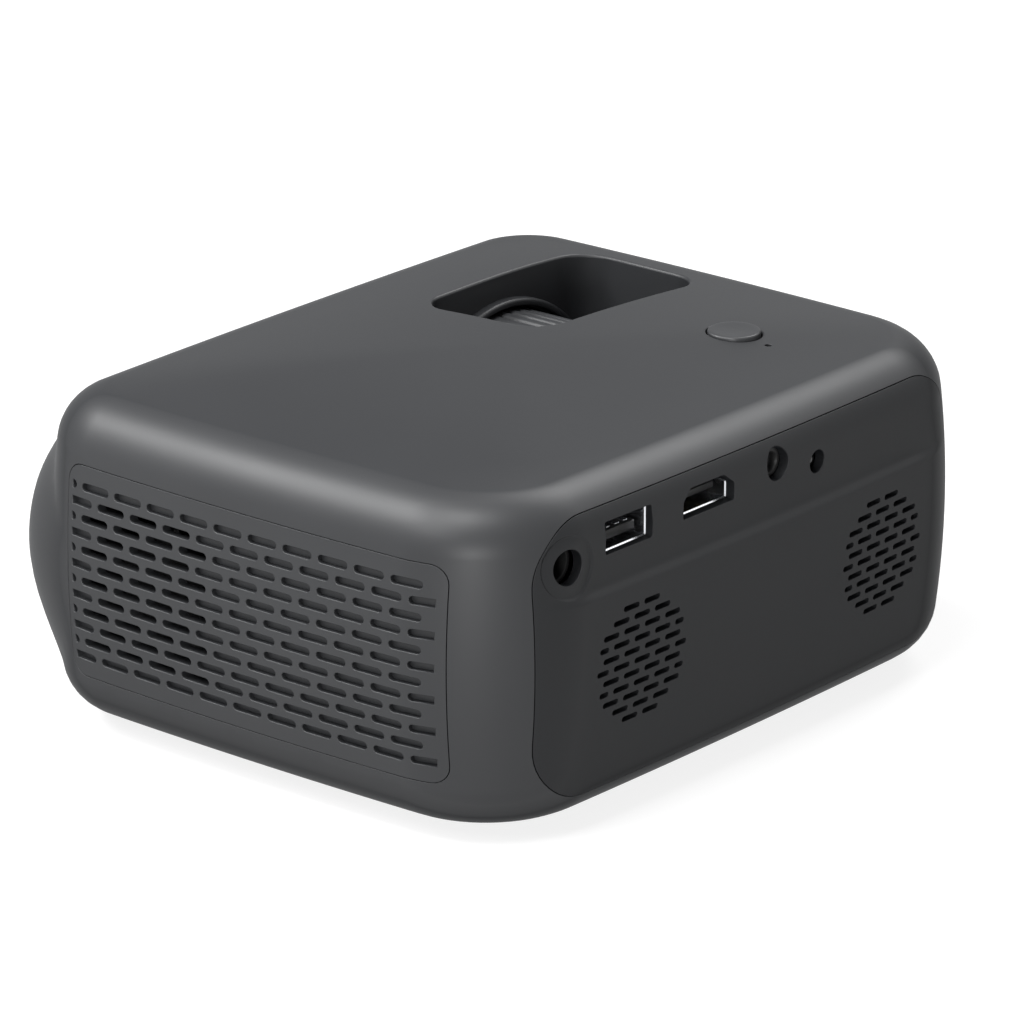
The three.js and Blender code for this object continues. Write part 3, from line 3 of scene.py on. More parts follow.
import bpy
import numpy as np
from mathutils import Matrix, Vector
from mathutils.geometry import delaunay_2d_cdt


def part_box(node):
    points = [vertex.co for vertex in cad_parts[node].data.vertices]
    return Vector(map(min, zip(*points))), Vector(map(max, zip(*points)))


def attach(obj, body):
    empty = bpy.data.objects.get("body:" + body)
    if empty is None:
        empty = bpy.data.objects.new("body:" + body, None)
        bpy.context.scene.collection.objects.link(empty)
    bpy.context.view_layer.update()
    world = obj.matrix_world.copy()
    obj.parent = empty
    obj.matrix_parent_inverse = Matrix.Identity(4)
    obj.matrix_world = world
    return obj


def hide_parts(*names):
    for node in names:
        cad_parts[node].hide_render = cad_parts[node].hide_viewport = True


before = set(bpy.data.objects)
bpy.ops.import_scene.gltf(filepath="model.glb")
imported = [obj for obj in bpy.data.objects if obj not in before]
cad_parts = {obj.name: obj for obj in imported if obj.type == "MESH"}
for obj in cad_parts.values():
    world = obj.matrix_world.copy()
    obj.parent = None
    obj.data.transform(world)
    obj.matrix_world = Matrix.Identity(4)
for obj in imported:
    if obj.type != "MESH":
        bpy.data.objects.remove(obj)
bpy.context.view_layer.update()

mm = 0.001
quarter = math.pi / 2
print("frame loaded:", len(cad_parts), "nodes")


# Camera, lamps, floor and backdrop

view = {
    "place": (958.67, 804.8, 485.98),  # millimetres
    "azimuth": math.radians(129.823),
    "elevation": math.radians(19.85),
    "lens": 240.1,
    "sensor": 36.0,
    "clipEnd": 10.0,  # metres
}


def linked(name, data):
    # A new object in the scene that shows data
    made = bpy.data.objects.new(name, data)
    bpy.context.scene.collection.objects.link(made)
    return made


def makeCamera():
    # Looks back along the line of its azimuth and elevation, with its up side in the plane of that line
    # and +Z
    data = bpy.data.cameras.new("photoCamera")
    data.lens = view["lens"]
    data.sensor_width = view["sensor"]
    data.clip_end = view["clipEnd"]
    camera = linked("photoCamera", data)
    level = math.cos(view["elevation"])
    back = Vector((level * math.sin(view["azimuth"]), -level * math.cos(view["azimuth"]),
                   math.sin(view["elevation"])))
    right = Vector((0, 0, 1)).cross(back).normalized()
    turn = Matrix((right, back.cross(right), back)).transposed().to_4x4()
    camera.matrix_world = Matrix.Translation(Vector(view["place"]) * mm) @ turn
    bpy.context.scene.camera = camera


lamps = {
    # direction from the object, size in metres, power in watts
    "edgeSoftbox": {"from": (0.34, -0.60, 0.72), "size": (0.9, 0.45), "power": 22.0},
    "key": {"from": (0.72, -0.12, 0.68), "size": (0.7, 0.5), "power": 7.0},
    "overhead": {"from": (0.36, 0.02, 0.93), "size": (0.7, 0.5), "power": 16.0},
    "farStrip": {"from": (-0.74, 0.34, 0.60), "size": (0.7, 0.4), "power": 1.2},
    "farHigh": {"from": (-0.72, -0.13, 0.68), "size": (0.7, 0.5), "power": 12.5},
    "cornerStrip": {"from": (0.85, 0.52, 0.06), "size": (0.25, 0.5), "power": 12.5},
}
room = {
    "lampDistance": 1.6, "aimHeight": 0.035, "floorSize": 12.0,  # metres
    "ambient": 0.10, "floorLift": 0.84, "floorTone": 0.25,  # strengths and a tone
}
white = (1, 1, 1, 1)


def makeLamps():
    # Each lamp looks at a point a little above the middle of the floor
    for name, lamp in lamps.items():
        data = bpy.data.lights.new(name, "AREA")
        data.shape = "RECTANGLE"
        data.size, data.size_y = lamp["size"]
        data.energy = lamp["power"]
        source = linked(name, data)
        away = Vector(lamp["from"]).normalized()
        source.location = away * room["lampDistance"] + Vector((0, 0, room["aimHeight"]))
        source.rotation_euler = away.to_track_quat("Z", "Y").to_euler()


def node(tree, kind, inputs=None, **settings):
    # One node with its settings; an input is a plain value, or another node's output to link
    made = tree.nodes.new(kind)
    for key, value in settings.items():
        setattr(made, key, value)
    for key, value in (inputs or {}).items():
        if isinstance(value, bpy.types.NodeSocket):
            tree.links.new(value, made.inputs[key])
        else:
            made.inputs[key].default_value = value
    return made


def emptyTree(owner):
    # The node tree of a new material or world, with nothing in it
    owner.use_nodes = True
    owner.node_tree.nodes.clear()
    return owner.node_tree


def seenDirectly(tree):
    # One where the camera, a reflection or a view through glass meets the surface
    path = node(tree, "ShaderNodeLightPath")
    either = node(tree, "ShaderNodeMath",
                  {0: path.outputs["Is Camera Ray"], 1: path.outputs["Is Glossy Ray"]}, operation="MAXIMUM")
    return node(tree, "ShaderNodeMath", {0: either.outputs[0], 1: path.outputs["Is Transmission Ray"]},
                operation="MAXIMUM").outputs[0]


def makeRoom():
    # World and floor show white where they are seen directly, and light the object dimly where they are not;
    # the floor's matt share keeps the object's shadow
    world = bpy.data.worlds.new("paleStudio")
    bpy.context.scene.world = world
    tree = emptyTree(world)
    ambient = node(tree, "ShaderNodeBackground", {"Color": white, "Strength": room["ambient"]})
    backdrop = node(tree, "ShaderNodeBackground", {"Color": white, "Strength": 1.0})
    seen = node(tree, "ShaderNodeMixShader",
                {0: seenDirectly(tree), 1: ambient.outputs[0], 2: backdrop.outputs[0]})
    node(tree, "ShaderNodeOutputWorld", {"Surface": seen.outputs[0]})

    paint = bpy.data.materials.new("paleFloor")
    tree = emptyTree(paint)
    tone = room["floorTone"]
    matt = node(tree, "ShaderNodeBsdfDiffuse", {"Color": (tone, tone, tone, 1)})
    lift = node(tree, "ShaderNodeEmission", {"Color": white, "Strength": room["floorLift"]})
    none = node(tree, "ShaderNodeEmission", {"Strength": 0.0})
    shown = node(tree, "ShaderNodeMixShader", {0: seenDirectly(tree), 1: none.outputs[0], 2: lift.outputs[0]})
    both = node(tree, "ShaderNodeAddShader", {0: matt.outputs[0], 1: shown.outputs[0]})
    node(tree, "ShaderNodeOutputMaterial", {"Surface": both.outputs[0]})

    half = room["floorSize"] / 2
    mesh = bpy.data.meshes.new("floor")
    mesh.from_pydata([(-half, -half, 0), (half, -half, 0), (half, half, 0), (-half, half, 0)], [],
                     [(0, 1, 2, 3)])
    mesh.materials.append(paint)
    linked("floor", mesh)
    bpy.context.scene.view_settings.view_transform = "Standard"


makeCamera()
makeLamps()
makeRoom()
print("camera, lamps and room made")


# Effects that several materials share, as node groups

def newGroup(name, inputs, outputs):
    # An empty group with its inputs and outputs
    tree = bpy.data.node_groups.new(name, "ShaderNodeTree")
    for label, kind, value in inputs:
        socket = tree.interface.new_socket(label, in_out="INPUT", socket_type=kind)
        if value is not None:
            socket.default_value = value
    for label, kind in outputs:
        tree.interface.new_socket(label, in_out="OUTPUT", socket_type=kind)
    return tree, tree.nodes.new("NodeGroupInput").outputs, tree.nodes.new("NodeGroupOutput").inputs


def maths(tree, operation, *values):
    # One step of arithmetic on values or other nodes' outputs
    return node(tree, "ShaderNodeMath", dict(enumerate(values)), operation=operation).outputs[0]


def inShares(tree, first, second, share):
    # first * share + second * (1 - share)
    return maths(tree, "ADD", maths(tree, "MULTIPLY", first, share),
                 maths(tree, "MULTIPLY", second, 1 - share))


def noise(tree, coords, scale, detail=2.0, rough=0.5):
    # Smooth noise from 0 to 1 at a scale per metre
    return node(tree, "ShaderNodeTexNoise",
                {"Vector": coords, "Scale": scale, "Detail": detail, "Roughness": rough}).outputs["Fac"]


grain = {"coarser": 0.31, "fineInHeight": 0.65, "slowInGloss": 0.6}
marks = {"stainScale": 160.0, "bandsInGloss": 0.4}
smears = {"stretch": (60.0, 22.0, 40.0), "turn": (0.3, 0.5, 0.7), "from": 0.5, "to": 0.75}


def makeMouldedGrain():
    # Spark-eroded mould texture: fine noise on coarser noise as height, and a slow drift of tone and gloss
    tree, given, put = newGroup(
        "mouldedGrain",
        [("Place", "NodeSocketVector", None), ("Grain", "NodeSocketFloat", 2600.0),
         ("Drift", "NodeSocketFloat", 28.0)],
        [("Height", "NodeSocketFloat"), ("Tone", "NodeSocketFloat"), ("Gloss", "NodeSocketFloat")],
    )
    fine = noise(tree, given["Place"], given["Grain"], detail=3.0, rough=0.6)
    coarse = noise(tree, given["Place"], maths(tree, "MULTIPLY", given["Grain"], grain["coarser"]),
                   detail=1.0)
    slow = noise(tree, given["Place"], given["Drift"])
    tree.links.new(inShares(tree, fine, coarse, grain["fineInHeight"]), put["Height"])
    tree.links.new(slow, put["Tone"])
    tree.links.new(inShares(tree, slow, fine, grain["slowInGloss"]), put["Gloss"])
    return tree


def makeTurnedMarks():
    # Tool marks of turned or rolled metal: bands across a slanting axis, broken up by noise, with faint
    # stains
    tree, given, put = newGroup(
        "turnedMarks",
        [("Place", "NodeSocketVector", None), ("Pitch", "NodeSocketFloat", 900.0)],
        [("Height", "NodeSocketFloat"), ("Gloss", "NodeSocketFloat"), ("Tone", "NodeSocketFloat")],
    )
    bands = node(tree, "ShaderNodeTexWave",
                 {"Vector": given["Place"], "Scale": given["Pitch"], "Distortion": 2.5, "Detail": 2.0},
                 wave_type="BANDS", bands_direction="DIAGONAL").outputs["Fac"]
    stains = noise(tree, given["Place"], marks["stainScale"], detail=4.0, rough=0.6)
    tree.links.new(bands, put["Height"])
    tree.links.new(inShares(tree, bands, stains, marks["bandsInGloss"]), put["Gloss"])
    tree.links.new(stains, put["Tone"])
    return tree


def makeHandling():
    # Faint smears where a surface is handled: stretched noise, held to its upper part
    tree, given, put = newGroup(
        "handling",
        [("Place", "NodeSocketVector", None), ("Amount", "NodeSocketFloat", 0.5)],
        [("Smear", "NodeSocketFloat")],
    )
    stretched = node(tree, "ShaderNodeMapping", {"Vector": given["Place"], "Scale": smears["stretch"],
                                                 "Rotation": smears["turn"]}).outputs[0]
    cloudy = noise(tree, stretched, 1.0, detail=5.0, rough=0.65)
    held = node(tree, "ShaderNodeMapRange",
                {"Value": cloudy, "From Min": smears["from"], "From Max": smears["to"]}).outputs[0]
    tree.links.new(maths(tree, "MULTIPLY", held, given["Amount"]), put["Smear"])
    return tree


groups = {"grain": makeMouldedGrain(), "marks": makeTurnedMarks(), "handling": makeHandling()}


def useGroup(tree, key, inputs):
    # A shared effect with its inputs; gives its outputs
    return node(tree, "ShaderNodeGroup", inputs, node_tree=groups[key]).outputs


# Materials

def shade(value):
    # A screen grey or colour of 0 to 255 as the linear colour that a shader takes
    levels = np.array(value if isinstance(value, tuple) else (value, value, value)) / 255.0
    linear = np.where(levels <= 0.04045, levels / 12.92, ((levels + 0.055) / 1.055) ** 2.4)
    return (*linear.tolist(), 1.0)


def startMaterial(name, **plain):
    # A material whose patterns lie on the piece's own place in the frame
    material = bpy.data.materials.new(name)
    tree = emptyTree(material)
    coords = node(tree, "ShaderNodeTexCoord").outputs["Object"]
    shader = node(tree, "ShaderNodeBsdfPrincipled", plain)
    node(tree, "ShaderNodeOutputMaterial", {"Surface": shader.outputs[0]})
    return material, tree, coords, shader


def spread(tree, mask, low, high, fromMin=0.25, fromMax=0.75):
    # A value from low to high, by a mask over its usual range
    return node(tree, "ShaderNodeMapRange", {"Value": mask, "From Min": fromMin, "From Max": fromMax,
                                             "To Min": low, "To Max": high}).outputs[0]


def mixed(tree, factor, first, second):
    # A colour between two others
    return node(tree, "ShaderNodeMix", {"Factor": factor, "A": first, "B": second},
                data_type="RGBA").outputs["Result"]


def twoTones(tree, mask, dark, light, low=0.3, high=0.7):
    # A colour between two tones, by a mask over its usual range
    return mixed(tree, spread(tree, mask, 0.0, 1.0, low, high), shade(dark), shade(light))


def finishSurface(tree, shader, colour, gloss, height, depth, strength):
    # Colour and roughness, and a bump whose full height is depth in millimetres
    tree.links.new(colour, shader.inputs["Base Color"])
    tree.links.new(gloss, shader.inputs["Roughness"])
    made = node(tree, "ShaderNodeBump", {"Height": height, "Distance": depth * mm, "Strength": strength})
    tree.links.new(made.outputs[0], shader.inputs["Normal"])


def softenEdges(tree, shader, facing, grazing):
    # A matt moulding shines less at a slant than smooth plastic: its specular level falls as the view gets
    # flat
    slant = node(tree, "ShaderNodeLayerWeight", {"Blend": 0.5}).outputs["Facing"]
    tree.links.new(spread(tree, slant, facing, grazing, 0.3, 0.6), shader.inputs["Specular IOR Level"])


def mouldedPlastic(name, dark, light, glossRange, size=2600.0, depth=0.02, strength=0.3, smear=0.0, matt=None,
                   **plain):
    # Grain of the mould, with the handling smears taken off its roughness
    material, tree, coords, shader = startMaterial(name, **plain)
    if matt:
        softenEdges(tree, shader, *matt)
    texture = useGroup(tree, "grain", {"Place": coords, "Grain": size})
    colour = twoTones(tree, texture["Tone"], dark, light)
    gloss = spread(tree, texture["Gloss"], *glossRange)
    if smear:
        touched = useGroup(tree, "handling", {"Place": coords, "Amount": smear})
        gloss = maths(tree, "SUBTRACT", gloss, touched["Smear"])
    finishSurface(tree, shader, colour, gloss, texture["Height"], depth, strength)
    return material


def workedMetal(name, dark, light, glossRange, pitch=900.0, depth=0.004, strength=0.25):
    # Bare metal with the marks of its making
    material, tree, coords, shader = startMaterial(name, Metallic=1.0)
    texture = useGroup(tree, "marks", {"Place": coords, "Pitch": pitch})
    finishSurface(tree, shader, twoTones(tree, texture["Tone"], dark, light),
                  spread(tree, texture["Gloss"], *glossRange), texture["Height"], depth, strength)
    return material


def glassOf(name, colour, roughness, smear=0.06, size=700.0, **plain):
    # Clear material with faint smears in its gloss
    material, tree, coords, shader = startMaterial(name, **{"Transmission Weight": 1.0, "IOR": 1.52, **plain})
    touched = useGroup(tree, "handling", {"Place": coords, "Amount": smear})
    film = useGroup(tree, "grain", {"Place": coords, "Grain": size})
    tree.links.new(twoTones(tree, film["Tone"], colour, 255), shader.inputs["Base Color"])
    tree.links.new(maths(tree, "ADD", touched["Smear"], roughness), shader.inputs["Roughness"])
    return material


def boardMaterial(name, dark, light, copper, copperShare=0.55, size=1500.0):
    # Solder mask over tracks: two sets of long bricks turned across each other read as runs of copper
    material, tree, coords, shader = startMaterial(name, **{"Coat Weight": 0.3, "Coat Roughness": 0.2})
    layers = []
    for turn, scale in ((0.0, 210.0), (quarter, 160.0)):
        laid = node(tree, "ShaderNodeMapping", {"Vector": coords, "Rotation": (0, 0, turn)}).outputs[0]
        layers.append(node(tree, "ShaderNodeTexBrick",
                           {"Vector": laid, "Scale": scale, "Mortar Size": 0.07, "Brick Width": 1.3,
                            "Row Height": 0.22, "Mortar Smooth": 0.2}, offset=0.37).outputs["Fac"])
    runs = maths(tree, "MULTIPLY", *layers)
    film = useGroup(tree, "grain", {"Place": coords, "Grain": size})
    solder = twoTones(tree, film["Tone"], dark, light)
    colour = mixed(tree, maths(tree, "MULTIPLY", runs, copperShare), solder, shade(copper))
    finishSurface(tree, shader, colour, spread(tree, film["Gloss"], 0.32, 0.45), maths(tree, "ADD", *layers),
                  depth=0.03, strength=0.5)
    return material


def cellMaterial(name, dark, light, scale, depth, glossRange, fibreScale=2.3, strength=0.8):
    # Open cells, as in foam or pressed paper: distance to the nearest cell middle as height and tone; the
    # tone darkens toward each cell's low middle, which is painted shade
    material, tree, coords, shader = startMaterial(name)
    cells = node(tree, "ShaderNodeTexVoronoi", {"Vector": coords, "Scale": scale}).outputs["Distance"]
    fibre = noise(tree, coords, scale * fibreScale, detail=4.0)
    # Tone is darker toward each cell's middle, where the height is low: painted shade in the hollows
    finishSurface(tree, shader, twoTones(tree, cells, dark, light, 0.05, 0.6),
                  spread(tree, fibre, *glossRange), maths(tree, "ADD", cells, fibre), depth, strength)
    return material


dull = {"Specular IOR Level": 0.25}
touchMatt = (0.5, 0.05)  # specular level facing the eye and at a slant, for the parts that are handled
lacquer = {"Coat Weight": 0.3, "Coat Roughness": 0.06}
bluish = {"Coat Weight": 0.6, "Coat Roughness": 0.02, "Coat Tint": (0.55, 0.5, 0.95, 1.0)}
plastics = {
    # two tones of 0 to 255, range of roughness, and what differs from the usual grain
    "casePlastic": ((45, 46, 48), (48, 49, 51), (0.42, 0.50), {"matt": (0.40, 0.05)}),
    "panelPlastic": ((27, 28, 30), (30, 31, 33), (0.46, 0.54), {"matt": (0.28, 0.05)}),
    "ringPlastic": ((48, 49, 51), (54, 55, 57), (0.5, 0.58),
                    {"size": 3200.0, "smear": 0.05, "matt": touchMatt}),
    "buttonPlastic": ((50, 51, 53), (53, 54, 56), (0.38, 0.46),
                      {"size": 3600.0, "smear": 0.06, "matt": touchMatt}),
    "blackPlastic": (26, 32, (0.45, 0.6), dull),
    "socketPlastic": (38, 46, (0.35, 0.5), {"size": 3000.0, **dull}),
    "glossBlack": (18, 22, (0.12, 0.2),
                   {"size": 300.0, "depth": 0.01, "strength": 0.05, "smear": -0.05, **lacquer}),
    "whitePlastic": (205, 222, (0.35, 0.5), {}),
    "redSleeve": ((120, 24, 20), (150, 34, 28), (0.4, 0.5), {"size": 1200.0}),
    "ribbonFilm": ((150, 96, 36), (176, 118, 48), (0.25, 0.35), {"size": 900.0}),
    "rubber": (24, 34, (0.75, 0.9), {"size": 1800.0, "depth": 0.05, "strength": 0.5, **dull}),
}
metals = {
    "platedMetal": ((196, 198, 202), (222, 224, 228), (0.16, 0.28), {"pitch": 1400.0}),
    "steel": ((150, 152, 156), (178, 180, 184), (0.25, 0.4), {}),
    "aluminium": ((176, 178, 182), (200, 202, 205), (0.3, 0.45), {"pitch": 500.0}),
    "brass": ((168, 136, 66), (196, 164, 92), (0.22, 0.36), {"pitch": 1100.0}),
    "contactGold": ((196, 160, 84), (220, 186, 110), (0.18, 0.3), {"pitch": 1600.0}),
    "mirrorGlass": ((226, 230, 234), (238, 240, 242), (0.02, 0.05), {"pitch": 60.0, "strength": 0.02}),
}
finish = {name: mouldedPlastic(name, *tones, **options) for name, (*tones, options) in plastics.items()}
finish |= {name: workedMetal(name, *tones, **options) for name, (*tones, options) in metals.items()}
finish |= {
    "clearGlass": glassOf("clearGlass", (222, 234, 238), 0.01),
    "coatedGlass": glassOf("coatedGlass", (206, 214, 232), 0.01, **bluish),
    "circuitBoard": boardMaterial("circuitBoard", (22, 66, 40), (30, 82, 50), (62, 120, 70)),
    "filterFoam": cellMaterial("filterFoam", 18, 58, 900.0, 0.4, (0.86, 0.96)),
    "speakerPaper": cellMaterial("speakerPaper", 24, 40, 1500.0, 0.08, (0.79, 0.89)),
}
print("materials made:", len(finish))


# Outlines and meshes

def roundedRect(u0, u1, v0, v1, radius, arcSteps, spacing):
    # Anticlockwise: four quarter arcs, joined by straights divided about every spacing
    arcs = []
    for corner, (u, v) in enumerate(((u1 - radius, v1 - radius), (u0 + radius, v1 - radius),
                                     (u0 + radius, v0 + radius), (u1 - radius, v0 + radius))):
        angle = (corner + np.linspace(0, 1, arcSteps + 1)) * quarter
        arcs.append(np.stack([u + radius * np.cos(angle), v + radius * np.sin(angle)], 1))
    pieces = []
    for arc, following in zip(arcs, arcs[1:] + arcs[:1]):
        span = following[0] - arc[-1]
        count = max(1, round(float(np.hypot(*span)) / spacing))
        pieces += [arc, arc[-1] + span * (np.arange(1, count) / count)[:, None]]
    return np.concatenate(pieces)


def circle(u, v, radius, count):
    # Points at even angles round a middle, anticlockwise
    angle = np.arange(count) / count * 4 * quarter
    return np.stack([u + radius * np.cos(angle), v + radius * np.sin(angle)], 1)


def slotOutline(u0, u1, v, half, steps=5, low=-np.inf, high=np.inf):
    # A slot with half-round ends, or with a flat end where a limit cuts it off
    angle = np.linspace(-quarter, quarter, steps + 1)
    flat, level = half * np.array([-1.0, 1.0]), np.zeros(2)
    right, left = (high + level, v + flat), (low + level, v - flat)
    if u1 <= high:
        right = (u1 - half + half * np.cos(angle), v + half * np.sin(angle))
    if u0 >= low:
        left = (u0 + half - half * np.cos(angle), v - half * np.sin(angle))
    return np.concatenate([np.stack(right, 1), np.stack(left, 1)])


def roundCorners(points, radii, steps):
    # Each corner of a closed outline swapped for a curve between two points set back from it:
    # (1-t)^2 A + 2t(1-t) C + t^2 B
    points = np.asarray(points, float)
    t = np.linspace(0, 1, steps + 1)[:, None]
    out = []
    for before, corner, after, radius in zip(np.roll(points, 1, 0), points, np.roll(points, -1, 0), radii):
        if radius <= 0:
            out.append(corner[None])
            continue
        back = corner + (before - corner) / np.hypot(*(before - corner)) * radius
        on = corner + (after - corner) / np.hypot(*(after - corner)) * radius
        out.append((1 - t) ** 2 * back + 2 * t * (1 - t) * corner + t ** 2 * on)
    return np.concatenate(out)


def outwards(loop):
    # Outward direction at each point of an anticlockwise outline, longer at corners as a mitre is
    def across(edges):
        turned = np.stack([edges[:, 1], -edges[:, 0]], 1)
        return turned / np.linalg.norm(turned, axis=1, keepdims=True)
    after = across(np.roll(loop, -1, 0) - loop)
    mean = across(loop - np.roll(loop, 1, 0)) + after
    mean /= np.linalg.norm(mean, axis=1, keepdims=True)
    return mean / np.clip((mean * after).sum(1, keepdims=True), 0.5, 1)  # twice as long at most


def inside(points, loop):
    # Even-odd count of the outline's edges that a line to the right of each point crosses
    a, b = loop, np.roll(loop, -1, 0)
    u, v = points[:, 0:1], points[:, 1:2]
    spans = (a[:, 1] > v) != (b[:, 1] > v)
    rise = np.where(b[:, 1] == a[:, 1], 1, b[:, 1] - a[:, 1])
    meets = (b[:, 0] - a[:, 0]) * (v - a[:, 1]) / rise + a[:, 0]
    return (spans & (u < meets)).sum(1) % 2 == 1


def distance(points, loop):
    # Distance from each point to the nearest edge of a closed outline
    a, b = loop, np.roll(loop, -1, 0)
    edge = b - a
    along = ((points[:, None] - a) * edge).sum(2) / np.maximum((edge ** 2).sum(1), 1e-12)
    near = a + np.clip(along, 0, 1)[..., None] * edge
    return np.linalg.norm(points[:, None] - near, axis=2).min(1)


def gridFaces(rows, columns, closeRows=False, closeColumns=False):
    # Two triangles for each cell of a grid of points that is kept row by row
    r = np.arange(rows if closeRows else rows - 1)[:, None]
    c = np.arange(columns if closeColumns else columns - 1)[None]
    a = r * columns + c
    b = r * columns + (c + 1) % columns
    d = (r + 1) % rows * columns + c
    e = (r + 1) % rows * columns + (c + 1) % columns
    return np.concatenate([np.stack([a, b, e], 2).reshape(-1, 3), np.stack([a, e, d], 2).reshape(-1, 3)])


def fanFaces(count):
    # A closed ring of points filled from its first point
    i = np.arange(1, count - 1)
    return np.stack([np.zeros_like(i), i, i + 1], 1)


def unit(vectors):
    # Each vector divided by its length
    return vectors / np.maximum(np.linalg.norm(vectors, axis=-1, keepdims=True), 1e-12)


def gridNormals(points, faces):
    # Mean of the normals of the faces round each point, weighted by area
    total = np.zeros_like(points)
    a, b, c = points[faces[:, 0]], points[faces[:, 1]], points[faces[:, 2]]
    cross = np.cross(b - a, c - a)
    for k in range(3):
        np.add.at(total, faces[:, k], cross)
    return unit(total)


class Shell:
    # Patches of points, their normals and triangles, joined into one mesh where points meet
    def __init__(self):
        self.points, self.normals, self.faces, self.finishes, self.count = [], [], [], [], 0

    def add(self, points, faces, normals=None, flip=False, finishIndex=0):
        faces = faces[:, ::-1] if flip else faces
        if normals is None:
            normals = gridNormals(points, faces)
        self.points.append(points)
        self.normals.append(normals)
        self.faces.append(faces + self.count)
        self.finishes.append(np.full(len(faces), finishIndex))
        self.count += len(points)

    def mesh(self, name, materials, smoothNormals=True, sharpAngle=35):
        points, normals = np.concatenate(self.points), np.concatenate(self.normals)
        faces, finishes = np.concatenate(self.faces), np.concatenate(self.finishes)
        # Points that agree to a micron are one vertex, and triangles that this flattens are left out
        _, first, where = np.unique(np.round(points, 3), axis=0, return_index=True, return_inverse=True)
        where = where.reshape(-1)
        welded = where[faces]
        real = ((welded[:, 0] != welded[:, 1]) & (welded[:, 1] != welded[:, 2])
                & (welded[:, 2] != welded[:, 0]))
        welded, corners, finishes = welded[real], faces[real], finishes[real]
        mesh = bpy.data.meshes.new(name)
        mesh.vertices.add(len(first))
        mesh.vertices.foreach_set("co", (points[first] * mm).astype(np.float32).ravel())
        mesh.loops.add(welded.size)
        mesh.loops.foreach_set("vertex_index", welded.astype(np.int32).ravel())
        mesh.polygons.add(len(welded))
        mesh.polygons.foreach_set("loop_start", np.arange(0, welded.size, 3, dtype=np.int32))
        for material in materials:
            mesh.materials.append(material)
        mesh.polygons.foreach_set("material_index", finishes.astype(np.int32))
        mesh.polygons.foreach_set("use_smooth", np.ones(len(welded), bool))
        mesh.update(calc_edges=True)
        mesh.validate()
        if smoothNormals:
            mesh.normals_split_custom_set(normals[corners.ravel()].tolist())
        else:
            mesh.set_sharp_from_angle(angle=math.radians(sharpAngle))
        return mesh


def putPiece(name, shell, materials, slot, body, *replaced, **options):
    # A finished piece: its body and the CAD nodes that it stands for; its slot is not used
    made = [finish[key] for key in ([materials] if isinstance(materials, str) else materials)]
    piece = linked(name, shell.mesh(name, made, **options))
    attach(piece, body)
    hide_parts(*replaced)


def cover(loops, interior, margin):
    # Triangles between an outline and convex holes in it: a Delaunay mesh of their points and the inner ones,
    # less the triangles whose corners all lie on one hole
    keep = inside(interior, loops[0]) & (distance(interior, loops[0]) > margin)
    for hole in loops[1:]:
        low, high = hole.min(0) - margin, hole.max(0) + margin
        near = np.flatnonzero(keep & ((interior > low) & (interior < high)).all(1))
        if len(near):
            keep[near[inside(interior[near], hole) | (distance(interior[near], hole) < margin)]] = False
    points = np.concatenate([*loops, interior[keep]])
    owner = np.concatenate([*(np.full(len(loop), i) for i, loop in enumerate(loops)),
                            np.full(keep.sum(), -1)])
    starts = np.cumsum([0] + [len(loop) for loop in loops])
    rounds = [start + np.stack([np.arange(len(loop)), (np.arange(len(loop)) + 1) % len(loop)], 1)
              for start, loop in zip(starts, loops)]
    made = delaunay_2d_cdt(list(map(Vector, points.tolist())), np.concatenate(rounds).tolist(), [], 0, 1e-7,
                           True)
    source = np.array([origin[0] if origin else -1 for origin in made[3]])
    faces = source[np.array(made[2])]
    faces = faces[(faces >= 0).all(1)]
    whose = owner[faces]
    faces = faces[~((whose[:, 0] > 0) & (whose == whose[:, :1]).all(1))]
    a, b, c = points[faces[:, 0]], points[faces[:, 1]], points[faces[:, 2]]
    area = (b[:, 0] - a[:, 0]) * (c[:, 1] - a[:, 1]) - (b[:, 1] - a[:, 1]) * (c[:, 0] - a[:, 0])
    real = np.abs(area) > 1e-9
    faces, area = faces[real], area[real]
    faces[area < 0] = faces[area < 0][:, ::-1]
    return points, faces, starts


def surfaceNormals(surface, points, sign, step=0.02):
    # Cross product of the surface's slopes along its two parameters, by differences
    du, dv = np.array([step, 0.0]), np.array([0.0, step])
    across = surface(points + du) - surface(points - du)
    up = surface(points + dv) - surface(points - dv)
    return unit(np.cross(across, up)) * sign


